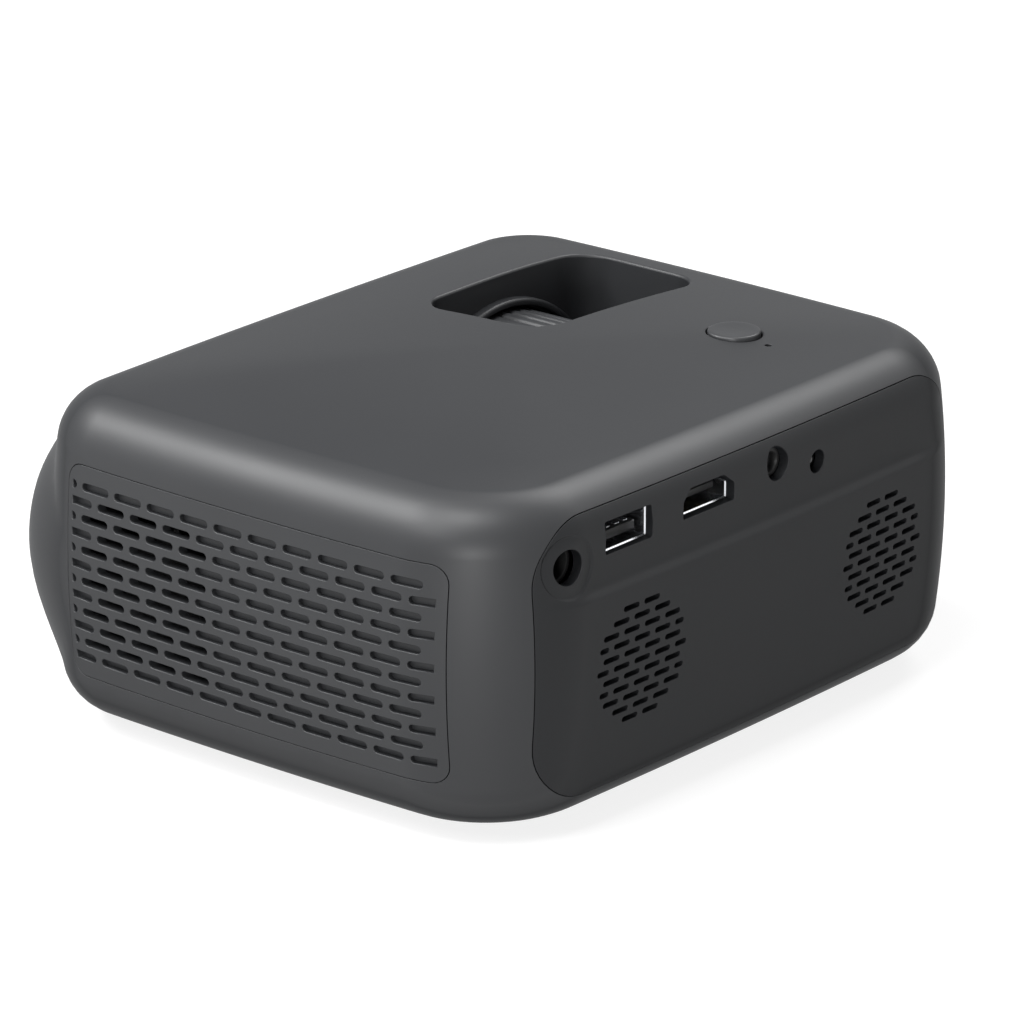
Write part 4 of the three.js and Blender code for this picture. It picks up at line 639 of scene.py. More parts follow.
def panel(shell, surface, sign, edge, holes, interior, thick, margin, shared=None, steps=3):
    # A sheet over an outline, with holes. The surface maps two parameters to a place; sign turns its
    # normals outwards. Each edge rolls over a quarter round (its lip), then goes down to its depth:
    # through the sheet, or to the floor of a pocket. A shared edge has no lip and meets another sheet,
    # whose places and normals it takes. An open edge stops below its lip, for walls that go on from there.
    loops = [edge] + holes
    for i, loop in enumerate(loops):
        loop["into"] = outwards(loop["points"]) * (-1 if i == 0 else 1)
        loop["rim"] = loop["points"] + loop["into"] * loop.get("lip", 0)
    points, faces, starts = cover([loop["rim"] for loop in loops], interior, margin)
    front, normals = surface(points), surfaceNormals(surface, points, sign)
    if shared is not None:
        front[:len(shared[0])], normals[:len(shared[0])] = shared
    flip = sign < 0
    shell.add(front, faces, normals, flip)

    last, into = (np.concatenate([loop[key] for loop in loops]) for key in ("points", "into"))
    lip, depth = (np.concatenate([np.full((len(loop["points"]), 1), float(loop.get(key, usual)))
                                  for loop in loops])
                  for key, usual in (("lip", 0), ("depth", thick)))
    lastPlace, lastNormal = surface(last), surfaceNormals(surface, last, sign)
    rings, ringNormals = [front[:starts[-1]]], [normals[:starts[-1]]]
    toHole = lastPlace - rings[0]
    toHole = unit(toHole - (toHole * lastNormal).sum(1, keepdims=True) * lastNormal)
    for angle in np.linspace(0, quarter, steps + 1)[1:]:
        at = last + into * lip * (1 - math.sin(angle))
        normal = surfaceNormals(surface, at, sign)
        rings.append(surface(at) - normal * lip * (1 - math.cos(angle)))
        ringNormals.append(unit(normal * math.cos(angle) + toHole * math.sin(angle)))
    rings.append(lastPlace - lastNormal * depth)
    ringNormals.append(toHole)
    back = front - normals * thick
    back[:starts[-1]] = lastPlace - lastNormal * thick
    for start, end, loop in zip(starts, starts[1:], loops):
        if loop.get("shared"):
            back[start:end] = front[start:end] - normals[start:end] * thick
            continue
        inner = (start == 0) != flip
        down = len(rings) - bool(loop.get("open"))
        shell.add(np.concatenate([ring[start:end] for ring in rings[:down]]),
                  gridFaces(down, end - start, closeColumns=True),
                  np.concatenate([normal[start:end] for normal in ringNormals[:down]]), flip=inner)
        if loop.get("depth", thick) < thick:
            facing = lastNormal[start:end]
            shell.add(rings[-1][start:end], fanFaces(end - start), facing, flip)
            shell.add(back[start:end], fanFaces(end - start), -facing, not flip)
        if loop.get("open"):
            grown = loop["points"] + loop["into"] * loop["open"]
            back[start:end] = surface(grown) - surfaceNormals(surface, grown, sign) * thick
            loop["mouth"], loop["backMouth"] = rings[-2][start:end], back[start:end]
    shell.add(back, faces, -normals, not flip)


def turnTo(axis, points):
    # Points (across, up, along) laid so that along runs on the Z or Y axis
    a, b, c = points[..., 0], points[..., 1], points[..., 2]
    return np.stack((a, b, c) if axis == "z" else (a, c, b), -1)


def addLathe(shell, axis, centre, profile, count, finishIndex=0, closed=False):
    # A profile of (radius, distance along the axis) turned about the axis through centre; a closed profile
    # makes a ring, and an open one starts and ends on the axis
    profile = np.asarray(profile, float)
    angle = np.arange(count) / count * 4 * quarter
    ring = np.stack([np.cos(angle), np.sin(angle)], 1)
    across = profile[:, None, 0:1] * ring[None]
    along = np.broadcast_to(profile[:, None, 1:2], (len(profile), count, 1))
    points = turnTo(axis, np.concatenate([across, along], 2)).reshape(-1, 3) + np.asarray(centre, float)
    faces = gridFaces(len(profile), count, closeRows=closed, closeColumns=True)
    area = (profile[:, 0] * np.roll(profile[:, 1], -1) - np.roll(profile[:, 0], -1) * profile[:, 1]).sum()
    shell.add(points, faces, flip=(area < 0) != (axis == "y"), finishIndex=finishIndex)


def addPushed(shell, axis, outline, start, end, edge, finishIndex=0, steps=2, hollow=None, flare=0.0):
    # An outline pushed along an axis, its ends rolled over by edge; hollow is the wall of a tube, and flare
    # the depth of a bevel across the wall at its far end
    out = outwards(outline)
    angle = np.linspace(0, quarter, steps + 1)
    rolls = [(-edge * (1 - math.sin(a)), start + edge * (1 - math.cos(a))) for a in angle]
    rolls += [(-edge * (1 - math.cos(a)), end - edge * (1 - math.sin(a))) for a in angle]
    if hollow:
        rolls.append((-hollow, end - flare))
        rolls += [(-hollow + edge * (1 - math.sin(a)), start + edge * (1 - math.cos(a))) for a in angle[::-1]]
    rings = [np.concatenate([outline + out * grow, np.full((len(outline), 1), along)], 1)
             for grow, along in rolls]
    points = turnTo(axis, np.stack(rings)).reshape(-1, 3)
    flip = axis == "y"
    shell.add(points, gridFaces(len(rings), len(outline), closeRows=bool(hollow), closeColumns=True),
              flip=flip, finishIndex=finishIndex)
    if not hollow:
        fan = fanFaces(len(outline))
        count = len(outline)
        shell.add(points[:count], fan, flip=not flip, finishIndex=finishIndex)
        shell.add(points[-count:], fan, flip=flip, finishIndex=finishIndex)


# The case's outer face

case = {
    "halfWidth": 77.2, "rear": 68.15, "front": -58.15, "base": 2.0, "topEdge": 66.75,
    "crown": 3.2, "wall": 2.2,
    "rearCorner": 26.7, "frontCorner": 20.1, "topRound": 10.0, "baseRound": 9.4,
    "belly": 2.9, "sideSweep": 2.3, "endSweep": 2.0, "crownPower": 8.0,
}
muzzle = {"depth": 11.2, "halfHeight": 31.8, "drop": 3.6, "blend": 20.7, "riseShare": 0.71, "turnIn": 3}
midY = (case["rear"] + case["front"]) / 2
halfDepth = (case["rear"] - case["front"]) / 2
midZ = (case["topEdge"] + case["base"]) / 2
halfHeight = (case["topEdge"] - case["base"]) / 2
wallLow = case["base"] + case["baseRound"]
wallHigh = case["topEdge"] - case["topRound"]
lowArc = case["baseRound"] * quarter
highArc = case["topRound"] * quarter
profileEnd = lowArc + wallHigh - wallLow + highArc


def planSegments():
    # Straights and quarter arcs from the front end of the +X side, anticlockwise
    w, rearR, frontR = case["halfWidth"], case["rearCorner"], case["frontCorner"]
    rearY, frontY = case["rear"] - rearR, case["front"] + frontR
    rows = [
        (w, frontY, 0, 0, rearY - frontY),
        (w - rearR, rearY, 0, rearR, rearR * quarter),
        (w - rearR, case["rear"], 1, 0, 2 * (w - rearR)),
        (rearR - w, rearY, 1, rearR, rearR * quarter),
        (-w, rearY, 2, 0, rearY - frontY),
        (frontR - w, frontY, 2, frontR, frontR * quarter),
        (frontR - w, case["front"], 3, 0, 2 * (w - frontR)),
        (w - frontR, frontY, 3, frontR, frontR * quarter),
    ]
    return np.array(rows, float)


plan = planSegments()
planStart = np.concatenate([[0], np.cumsum(plan[:, 4])])
planLength = planStart[-1]


def planPoint(s):
    # Place and outward direction at a distance s along the plan outline
    s = np.mod(s, planLength)
    row = np.clip(np.searchsorted(planStart, s, side="right") - 1, 0, 7)
    x, y, turns, radius = plan[row, :4].T
    along = s - planStart[row]
    curved = radius > 0
    angle = turns * quarter + np.where(curved, along / np.where(curved, radius, 1), 0)
    nx, ny = np.cos(angle), np.sin(angle)
    straight = np.where(curved, 0, along)
    return x + radius * nx - straight * ny, y + radius * ny + straight * nx, nx, ny


edgeX = case["halfWidth"] - case["topRound"] - case["belly"]
edgeY = halfDepth - case["topRound"] - case["belly"]


def crownShares(x, y):
    # |x/a| and |y/b|, and m with m^p = |x/a|^p + |y/b|^p, which runs from 0 in the middle to 1 at the edge
    u, v, p = np.abs(x / edgeX), np.abs((y - midY) / edgeY), case["crownPower"]
    return u, v, (u ** p + v ** p) ** (1 / p)


def crownTop(x, y):
    # Height of the top: crown * (1 - m^2)
    return case["topEdge"] + case["crown"] * (1 - crownShares(x, y)[2] ** 2)


def topTurn(s):
    # Angle at which the top round stops, so that it runs on at the crown's slope
    x, y, nx, ny = planPoint(s)
    inset, p = case["topRound"] + case["belly"], case["crownPower"]
    u, v, m = crownShares(x - inset * nx, y - inset * ny)
    fall = u ** (p - 1) * np.abs(nx) / edgeX + v ** (p - 1) * np.abs(ny) / edgeY
    return quarter - np.arctan(2 * case["crown"] * m ** (2 - p) * fall)


def smoothStep(t):
    # t^2 (3 - 2t), held to 0 before and 1 after
    t = np.clip(t, 0, 1)
    return t * t * (3 - 2 * t)


def muzzleRise(x, z):
    # Swelling of the front: a stadium as wide as the case, rounded over its blend as a smoothstep to a power
    reach = case["halfWidth"] - muzzle["halfHeight"]
    inner = muzzle["halfHeight"] - np.hypot(np.maximum(np.abs(x) - reach, 0), z - midZ + muzzle["drop"])
    return muzzle["depth"] * smoothStep(inner / muzzle["blend"]) ** muzzle["riseShare"]


def caseSkin(points):
    # A place on the case's side by s along the plan and t up the profile: a quarter round, the wall, and a
    # top round. The wall draws in by belly * h^2 away from mid height, its ends by sweep * distance^2.
    s, t = points[:, 0], points[:, 1]
    x, y, nx, ny = planPoint(s)
    lowTurn = t / case["baseRound"]
    highTurn = (t - profileEnd + highArc) / highArc * topTurn(s)
    low, high = t < lowArc, t > profileEnd - highArc
    z = np.where(low, wallLow - case["baseRound"] * np.cos(lowTurn),
                 np.where(high, wallHigh + case["topRound"] * np.sin(highTurn), wallLow + t - lowArc))
    draw = np.where(low, case["baseRound"] * (1 - np.sin(lowTurn)),
                    np.where(high, case["topRound"] * (1 - np.cos(highTurn)), 0))
    inset = draw + case["belly"] * ((z - midZ) / halfHeight) ** 2
    x, y = x - inset * nx, y - inset * ny
    side = case["sideSweep"] * ((y - midY) / halfDepth) ** 2 * (np.abs(x) / case["halfWidth"]) ** 3
    end = case["endSweep"] * (x / case["halfWidth"]) ** 2 * (np.abs(y - midY) / halfDepth) ** 3
    rise = muzzleRise(x, z) * np.clip(-muzzle["turnIn"] * ny, 0, 1)
    return np.stack([x - np.sign(x) * side, y - np.sign(y - midY) * end - rise, z], 1)


faceSpans = {
    # stretch of the plan that a face covers, which coordinate it is found by, and that coordinate's sense
    "side": (-24.0, planStart[2] - 10.0, 1, 1),
    "rear": (planStart[1] + 8.0, planStart[4] - 8.0, 0, -1),
    "front": (planStart[6] - 24.0, planStart[7] + 24.0, 0, 1),
}


def onProfile(s, z):
    # Distance up the profile at height z
    lowTurn = np.arccos(np.clip((wallLow - z) / case["baseRound"], -1, 1))
    highTurn = np.arcsin(np.clip((z - wallHigh) / case["topRound"], -1, 1))
    return np.where(z < wallLow, lowTurn * case["baseRound"],
                    np.where(z > wallHigh, profileEnd - highArc + highTurn / topTurn(s) * highArc,
                             lowArc + z - wallLow))


def findOnFace(face, across, z, halvings=34):
    # The s and t at which the case's face has a wanted x or y at height z, by halving the stretch
    start, end, axis, sense = faceSpans[face]
    low, high = np.full(len(z), start), np.full(len(z), end)
    for _ in range(halvings):
        middle = (low + high) / 2
        value = caseSkin(np.stack([middle, onProfile(middle, z)], 1))[:, axis] * sense
        before = value < across * sense
        low, high = np.where(before, middle, low), np.where(before, high, middle)
    middle = (low + high) / 2
    return np.stack([middle, onProfile(middle, z)], 1)


def sharedEdge(line):
    # Where the side band ends: its outline seen from above, and the places and normals that the next sheet
    # takes
    places = caseSkin(line)
    return {"points": places[:, :2], "shared": True}, (places, surfaceNormals(caseSkin, line, 1))


def faceSurface(face, mirror=1):
    # The face as a surface of x or y and z, mirrored in x for the far side
    def surface(points):
        places = caseSkin(findOnFace(face, points[:, 0], points[:, 1]))
        return places * np.array([mirror, 1, 1])
    return surface


def evenPoints(low, high, spacing):
    # A grid of points over a box, every other row shifted by half a step
    u = np.arange(low[0], high[0], spacing)
    v = np.arange(low[1], high[1], spacing)
    grid = np.stack(np.meshgrid(u, v), -1)
    grid[1::2, :, 0] += spacing / 2
    return grid.reshape(-1, 2)


# Inserts and their openings: an insert fills its outline, and the housing's opening is a seam wider

seams = {"gap": 0.12, "lip": 0.10}
vent = {
    "y": 4.7, "z": 34.1, "halfLength": 46.55, "halfHeight": 21.4, "rows": 12, "columns": 10, "patternY": 4.4,
    "pitch": 8.6, "rowPitch": 3.14, "slotLength": 7.0, "slotHeight": 1.5,
    "patternLow": 44.9, "patternHigh": 44.7,
    "shortest": 1.0, "pocket": 1.2, "openReach": 14.0, "fanY": -21.4, "lip": 0.22,
}
rearPanel = {"halfWidth": 62.8, "bottom": 7.5, "top": 62.4}
frontPanel = {"halfWidth": 63.0, "z": 33.1, "halfHeight": 24.5, "bore": 21.7, "boreLip": 0.3}
inserts = {
    # lowest and highest corner on the face, corner radius, steps of a corner's arc, spacing along the
    # straights, spacing of the points within, and how far they keep from the edges
    "vent": {
        "low": (vent["y"] - vent["halfLength"], vent["z"] - vent["halfHeight"]),
        "high": (vent["y"] + vent["halfLength"], vent["z"] + vent["halfHeight"]),
        "corner": 3.7, "arcSteps": 6, "spacing": 2.0, "within": 4.0, "margin": 0.8,
    },
    "rear": {
        "low": (-rearPanel["halfWidth"], rearPanel["bottom"]),
        "high": (rearPanel["halfWidth"], rearPanel["top"]),
        "corner": 12.5, "arcSteps": 12, "spacing": 2.0, "within": 3.2, "margin": 0.45,
    },
    "front": {
        "low": (-frontPanel["halfWidth"], frontPanel["z"] - frontPanel["halfHeight"]),
        "high": (frontPanel["halfWidth"], frontPanel["z"] + frontPanel["halfHeight"]),
        "corner": 24.4, "arcSteps": 20, "spacing": 2.0, "within": 3.4, "margin": 1.0,
    },
    "bottom": {
        "low": (-63.0, -43.95), "high": (63.0, 53.95),
        "corner": 13.0, "arcSteps": 10, "spacing": 4.0, "within": 8.0, "margin": 1.2,
    },
}
well = {
    "x": -35.35, "halfWidth": 25.95, "front": -26.9, "rear": 4.3, "corner": 7.5, "footCorner": 3.0,
    "wall": 2.0,
    "draft": 0.8, "depth": 20.0, "lip": 0.6, "arcSteps": 8, "sideSteps": (24, 12, 24, 12), "rows": 12,
}
lens = {"x": -34.3, "z": 34.1}
button = {
    "x": -35.3, "y": 32.1, "radius": 5.25, "gap": 0.3, "lip": 0.35, "edge": 0.4, "dish": 0.12, "dishRim": 0.9,
    "height": 3.4, "flange": 6.4, "flangeThick": 0.7, "stem": 1.5,
}
pinhole = {"x": -34.6, "y": 41.0, "radius": 0.7, "lip": 0.12}


def insertOutline(name, grow=0.0):
    # An insert's outline, grown by the seam for its opening
    insert = inserts[name]
    (u0, v0), (u1, v1) = insert["low"], insert["high"]
    return roundedRect(u0 - grow, u1 + grow, v0 - grow, v1 + grow, insert["corner"] + grow,
                       insert["arcSteps"], insert["spacing"])


def insertPoints(name):
    # Even points over the insert's box; the sheet keeps those inside its outline
    return evenPoints(inserts[name]["low"], inserts[name]["high"], inserts[name]["within"])


def addInsert(shell, name, surface, sign, holes, points=None):
    # An insert's sheet with its holes; its inner points are the even ones unless others are given
    panel(shell, surface, sign, {"points": insertOutline(name), "lip": seams["lip"]}, holes,
          insertPoints(name) if points is None else points, case["wall"], inserts[name]["margin"])


def wellOutline(share, grow=0.0):
    # The well's outline at a share of its depth: drawn in by its draft, with corners that tighten
    inset = well["draft"] * share - grow
    corner = well["corner"] + (well["footCorner"] - well["corner"]) * share + grow
    halfWidth, midWell = well["halfWidth"] - inset, (well["front"] + well["rear"]) / 2
    halfLength = (well["rear"] - well["front"]) / 2 - inset
    arcs = []
    for turn, (sx, sy) in enumerate(((1, 1), (-1, 1), (-1, -1), (1, -1))):
        angle = (turn + np.linspace(0, 1, well["arcSteps"] + 1)) * quarter
        arcs.append(np.stack([well["x"] + sx * (halfWidth - corner) + corner * np.cos(angle),
                              midWell + sy * (halfLength - corner) + corner * np.sin(angle)], 1))
    pieces = []
    for arc, following, count in zip(arcs, arcs[1:] + arcs[:1], well["sideSteps"]):
        pieces += [arc, arc[-1] + (following[0] - arc[-1]) * (np.arange(1, count) / count)[:, None]]
    return np.concatenate(pieces)


def bandOpening(face, outline, mirror=1):
    # An opening of the side band, in its own s and t, anticlockwise; a mirrored one is read from the far side
    found = findOnFace(face, outline[:, 0], outline[:, 1])
    if mirror < 0:
        found[:, 0] = planStart[1] - found[:, 0] + planStart[4]
    area = (found[:, 0] * np.roll(found[:, 1], -1) - np.roll(found[:, 0], -1) * found[:, 1]).sum()
    return found if area > 0 else found[::-1].copy()


housing = {
    "bandStart": -15.8, "straightStep": 3.6, "apart": 0.9, "arcSteps": 15, "lowRows": 8, "wallRows": 14,
    "highRows": 10, "bandMargin": 0.9, "topSpacing": 3.5, "topMargin": 2.4,
}


def bandColumns():
    # Distances along the plan, close together on the corner arcs; they start half way round a front corner
    marks = []
    for radius, length, start in zip(plan[:, 3], plan[:, 4], planStart):
        count = housing["arcSteps"] if radius > 0 else round(length / housing["straightStep"])
        marks.append(start + length * np.arange(count) / count)
    marks = np.concatenate(marks)
    shift = np.where(marks > planLength + housing["bandStart"], marks - planLength, marks)
    inner = np.sort(shift[np.abs(shift - housing["bandStart"]) > housing["apart"]])
    return np.concatenate([[housing["bandStart"]], inner, [housing["bandStart"] + planLength]])


def bandRows():
    # Distances up the profile: the lower round, the wall and the top round
    low = np.linspace(0, lowArc, housing["lowRows"] + 1)
    wall = np.linspace(lowArc, profileEnd - highArc, housing["wallRows"] + 1)[1:]
    high = np.linspace(profileEnd - highArc, profileEnd, housing["highRows"] + 1)[1:]
    return np.concatenate([low, wall, high])


def wellTub(shell, mouth, backMouth):
    # The well's walls: from the rolled rim down to their lower edge, which in the front wall is the arch over
    # the focus ring; then up again outside
    footLine = wellOutline(1.0)
    foot = np.full(len(footLine), case["topEdge"] - well["depth"])
    across = np.clip(np.abs(footLine[:, 0] - lens["x"]), 0, collar["bore"])
    arch = lens["z"] + np.sqrt(collar["bore"] ** 2 - across ** 2)
    front = footLine[:, 1] < well["front"] + well["draft"] + 0.05
    lowEdge = np.where(front, np.maximum(foot, arch), foot)
    rim, outerRim = mouth[:, 2], backMouth[:, 2]
    within, outside = [mouth], [backMouth]
    for i in range(1, well["rows"] + 1):
        down = i / well["rows"]
        z = rim + (lowEdge - rim) * down
        zOutside = outerRim + (lowEdge - outerRim) * down
        share = np.clip((rim - z) / well["depth"], 0, 1)
        for rows, grow, height in ((within, 0.0, z), (outside, well["wall"], zOutside)):
            line = np.stack([wellOutline(part, grow)[k] for k, part in enumerate(share)])
            rows.append(np.concatenate([line, height[:, None]], 1))
    count = len(mouth)
    shell.add(np.concatenate(within), gridFaces(len(within), count, closeColumns=True))
    shell.add(np.concatenate(outside), gridFaces(len(outside), count, closeColumns=True), flip=True)
    shell.add(np.concatenate([within[-1], outside[-1]]), gridFaces(2, count, closeColumns=True))


collar = {
    "bore": 27.7, "outer": 29.2, "rear": -24.7, "front": -28.6, "edge": 0.45, "outerEdge": 0.72,
    "spread": 58.0,
    "steps": 48,
}


def archCollar(shell):
    # A square section with rolled edges, swept along an arc round the lens axis over the focus ring
    section = roundCorners([(collar["bore"], collar["front"]), (collar["outer"], collar["front"]),
                            (collar["outer"], collar["rear"]), (collar["bore"], collar["rear"])],
                           [0, 0, collar["outerEdge"], collar["edge"]], 4)
    angle = np.radians(np.linspace(-collar["spread"], collar["spread"], collar["steps"] + 1))
    rows = np.stack([np.stack([lens["x"] + section[:, 0] * math.sin(a), section[:, 1],
                               lens["z"] + section[:, 0] * math.cos(a)], 1) for a in angle])
    points = rows.reshape(-1, 3)
    shell.add(points, gridFaces(len(angle), len(section), closeColumns=True), flip=True)
    shell.add(rows[0], fanFaces(len(section)))
    shell.add(rows[-1], fanFaces(len(section)), flip=True)


def topSurface(points):
    # The crowned top over a point of the plan
    return np.stack([points[:, 0], points[:, 1], crownTop(points[:, 0], points[:, 1])], 1)


def baseSurface(points):
    # The flat underside over a point of the plan
    return np.stack([points[:, 0], points[:, 1], np.full(len(points), case["base"])], 1)


def makeHousing():
    # The side band, the crowned top and the rim round the bottom cover, joined where their edges meet
    shell = Shell()
    columns, rows = bandColumns(), bandRows()
    bottom = np.stack([columns, np.zeros(len(columns))], 1)
    top = np.stack([columns, np.full(len(columns), profileEnd)], 1)
    side = np.stack([np.zeros(len(rows) - 2), rows[1:-1]], 1)
    outline = np.concatenate([bottom, side + [columns[-1], 0], top[::-1], side[::-1] + [columns[0], 0]])
    wide = seams["gap"]
    cuts = (("side", "vent", 1), ("side", "vent", -1), ("rear", "rear", 1), ("front", "front", 1))
    holes = [{"points": bandOpening(face, insertOutline(name, wide), mirror), "lip": seams["lip"]}
             for face, name, mirror in cuts]
    interior = np.stack(np.meshgrid(columns[1:-1], rows[1:-1]), -1).reshape(-1, 2)
    panel(shell, caseSkin, 1, {"points": outline, "shared": True}, holes, interior, case["wall"],
          housing["bandMargin"])

    topHoles = [
        {"points": wellOutline(0.0), "lip": well["lip"], "open": well["wall"]},
        {"points": circle(button["x"], button["y"], button["radius"] + button["gap"], 48),
         "lip": button["lip"]},
        {"points": circle(pinhole["x"], pinhole["y"], pinhole["radius"], 16), "lip": pinhole["lip"]},
    ]
    interior = evenPoints((-edgeX, midY - edgeY), (edgeX, midY + edgeY), housing["topSpacing"])
    edge, shared = sharedEdge(top[:-1])
    panel(shell, topSurface, 1, edge, topHoles, interior, case["wall"], housing["topMargin"], shared, steps=5)
    wellTub(shell, topHoles[0]["mouth"], topHoles[0]["backMouth"])
    archCollar(shell)

    edge, shared = sharedEdge(bottom[:-1])
    opening = {"points": insertOutline("bottom", wide), "lip": seams["lip"]}
    panel(shell, baseSurface, -1, edge, [opening], np.zeros((0, 2)), case["wall"], 1.0, shared)
    putPiece("main_housing_shell", shell, "casePlastic", "case_plastic", "case", "main_housing")


makeHousing()
print("housing made")


def ventHoles():
    # Rows of slots, every other row shifted by half a pitch, cut off at the pattern's ends; open over the fan
    holes = []
    low, high = vent["patternY"] - vent["patternLow"], vent["patternY"] + vent["patternHigh"]
    reach = vent["slotLength"] / 2
    for row in range(vent["rows"]):
        z = vent["z"] + ((vent["rows"] - 1) / 2 - row) * vent["rowPitch"]
        for column in np.arange(-0.5 if row % 2 else -1.0, vent["columns"] + 0.1):
            middle = (column - (vent["columns"] - 1) / 2) * vent["pitch"]
            if (min(middle + reach, vent["patternHigh"]) - max(middle - reach, -vent["patternLow"])
                    < vent["shortest"]):
                continue
            y = vent["patternY"] + middle
            isOpen = abs(y - vent["fanY"]) < vent["openReach"] and 0 < row < vent["rows"] - 1
            slot = slotOutline(y - reach, y + reach, z, vent["slotHeight"] / 2, low=low, high=high)
            holes.append({"points": slot, "lip": vent["lip"],
                          "depth": case["wall"] if isOpen else vent["pocket"]})
    return holes


def makeGrilles():
    # The vent's sheet on the near side, and its mirror image on the far side
    for name, mirror in (("left", 1), ("right", -1)):
        shell = Shell()
        addInsert(shell, "vent", faceSurface("side", mirror), mirror, ventHoles())
        putPiece(f"{name}_grille_face", shell, "casePlastic", "case_plastic", "case", f"{name}_vent_grille")


makeGrilles()
print("vent grilles made")


# Rear cover: the sunk strip with its sockets, and the speaker slots

strip = {
    # "rows" and "dishRows": how far the closer points reach, in blends, and how many rows there are
    "ledge": 46.9, "fade": 16.0, "depth": 1.3, "blend": 1.1, "dish": 6.0, "dishDepth": 0.35, "dishBlend": 0.3,
    "lip": 0.25, "spacing": 1.6, "apart": 1.2, "rows": (1.3, 9), "dishRows": (1.2, 7), "dishSteps": 80,
    "dishClear": 1.0, "edgeClear": 0.5,
}
# "block" is left, right, below and above from the socket's middle, "blockRound" its corner, steps and
# spacing, "rim" the nose's outline as radius and distance back from the mouth, and "contacts" each row's
# count and height
boardUnder = 60.2  # underside of the main board, which the sockets hang from
socketMouth = 64.3
powerJack = {
    "x": 55.0, "z": boardUnder - 6.75, "hole": 3.4, "around": 40,
    "block": (-4.6, 4.6, -5.4, 6.75), "blockRound": (0.3, 2, 4.0), "back": 46.4, "face": 57.6,
    "mouth": 61.6, "noseFrom": 57.3, "rim": ((4.2, 0.2), (4.0, 0.0), (3.5, 0.0), (3.25, 0.15), (3.15, 0.5)),
    "facets": 56, "pin": 1.0, "pinTip": 0.7, "pinFrom": 51.8, "pinTo": 56.9,
}
audioJack = {
    "x": -5.4, "z": boardUnder - 2.65, "hole": 3.25, "around": 36,
    "block": (-2.65, 2.65, -2.65, 2.45), "blockRound": (0.3, 2, 3.0), "back": 50.4, "face": 60.8,
    "mouth": socketMouth, "noseFrom": 60.5,
    "rim": ((2.9, 0.25), (2.75, 0.05), (2.5, 0.0), (2.1, 0.05), (1.9, 0.3), (1.8, 0.8)),
    "facets": 48, "sleeve": 1.55, "sleeveFrom": 57.0, "sleeveTo": 62.6,
}
receiver = {
    "x": -17.7, "z": boardUnder - 5.5, "hole": 2.25, "around": 28,
    "block": (-2.6, 2.6, -2.6, 2.6), "blockRound": (0.35, 3, 3.0), "back": 60.0, "face": 63.0,
    "dome": 1.7, "domeRise": 1.6, "domeFrom": 63.2, "domeBack": 62.8,
    "pins": (-1.82, 0.0, 1.82), "pin": 0.25, "pinDepth": 0.5, "pinGap": 0.3,
}
dataPort = {
    "x": 38.6, "z": boardUnder - 3.7, "width": 13.2, "height": 6.2, "rounding": 0.45, "length": 13.0,
    "tongue": (-5.4, 5.4, -1.9, 0.0), "tongueRound": 0.25, "short": 1.7, "metal": "platedMetal",
    "contacts": ((4, 0.0),), "pitch": 2.5, "halfContact": 0.6, "contactRound": 0.15, "contactFrom": 9.5,
    "contactTo": 2.6, "contactLow": 0.1, "contactHigh": 0.14, "contactEdge": 0.06, "contactSteps": 2,
}
videoPort = {
    "x": 15.5, "z": boardUnder - 3.3, "width": 15.0, "narrow": 9.8, "height": 5.4, "shoulder": 2.1,
    "rounding": 0.5,
    "length": 12.0, "tongue": (-5.6, 5.6, -0.55, 0.75), "tongueRound": 0.2, "short": 1.6,
    "metal": "contactGold", "contacts": ((10, -0.55), (9, 0.75)), "pitch": 1.0, "halfContact": 0.22,
    "contactRound": 0.08, "contactFrom": 8.5, "contactTo": 2.2, "contactLow": 0.08, "contactHigh": 0.08,
    "contactEdge": 0.03, "contactSteps": 1,
}
port = {
    "margin": 0.04, "lip": 0.15, "edge": 0.08, "wall": 0.3, "flare": 0.22, "inside": 0.8, "blockRound": 0.3,
    "blockFrom": 0.3, "blockTo": 2.3, "blockEdge": 0.15, "tongueFrom": 0.6,
}
speaker = {
    "x": 36.9, "z": 31.2, "pitch": 5.84, "rowPitch": 2.19, "slotLength": 4.45, "slotHeight": 1.0,
    "patternRadius": 12.7, "rows": 5, "columns": 2, "shortest": 1.0, "lip": 0.15,
}


def stripDepth(points):
    # Depth of the strip: a smooth step down above its ledge, that comes back to the panel's face at the top
    # and over the last part of each end; and of the round dish that the power socket lies in
    x, z = points[:, 0], points[:, 1]
    step = smoothStep(0.5 + (z - strip["ledge"]) / (2 * strip["blend"]))
    above, whole = z - strip["ledge"] - strip["blend"], rearPanel["top"] - strip["ledge"] - strip["blend"]
    back = 1 - smoothStep(above / whole)
    ends = smoothStep((rearPanel["halfWidth"] - np.abs(x)) / strip["fade"])
    dish = np.hypot(x - powerJack["x"], z - powerJack["z"]) - strip["dish"]
    return (strip["depth"] * step * back * ends
            + strip["dishDepth"] * smoothStep(0.5 - dish / (2 * strip["dishBlend"])))


def rearSurface(points):
    # The case's rear face at x and z, sunk by the strip's depth
    places = caseSkin(findOnFace("rear", points[:, 0], points[:, 1]))
    return places - np.stack([np.zeros(len(points)), stripDepth(points), np.zeros(len(points))], 1)


def videoOutline(grow, rounding=videoPort["rounding"]):
    # A box whose upper corners are cut off by sloping shoulders
    x, z, wide = videoPort["x"], videoPort["z"], videoPort["width"] / 2 + grow
    low, high = z - videoPort["height"] / 2 - grow, z + videoPort["height"] / 2 + grow
    narrow, shoulder = videoPort["narrow"] / 2 + grow, high - videoPort["shoulder"]
    corners = [(x + wide, shoulder), (x + narrow, high), (x - narrow, high), (x - wide, shoulder),
               (x - wide, low), (x + wide, low)]
    return roundCorners(corners, [rounding] * 6, 3)


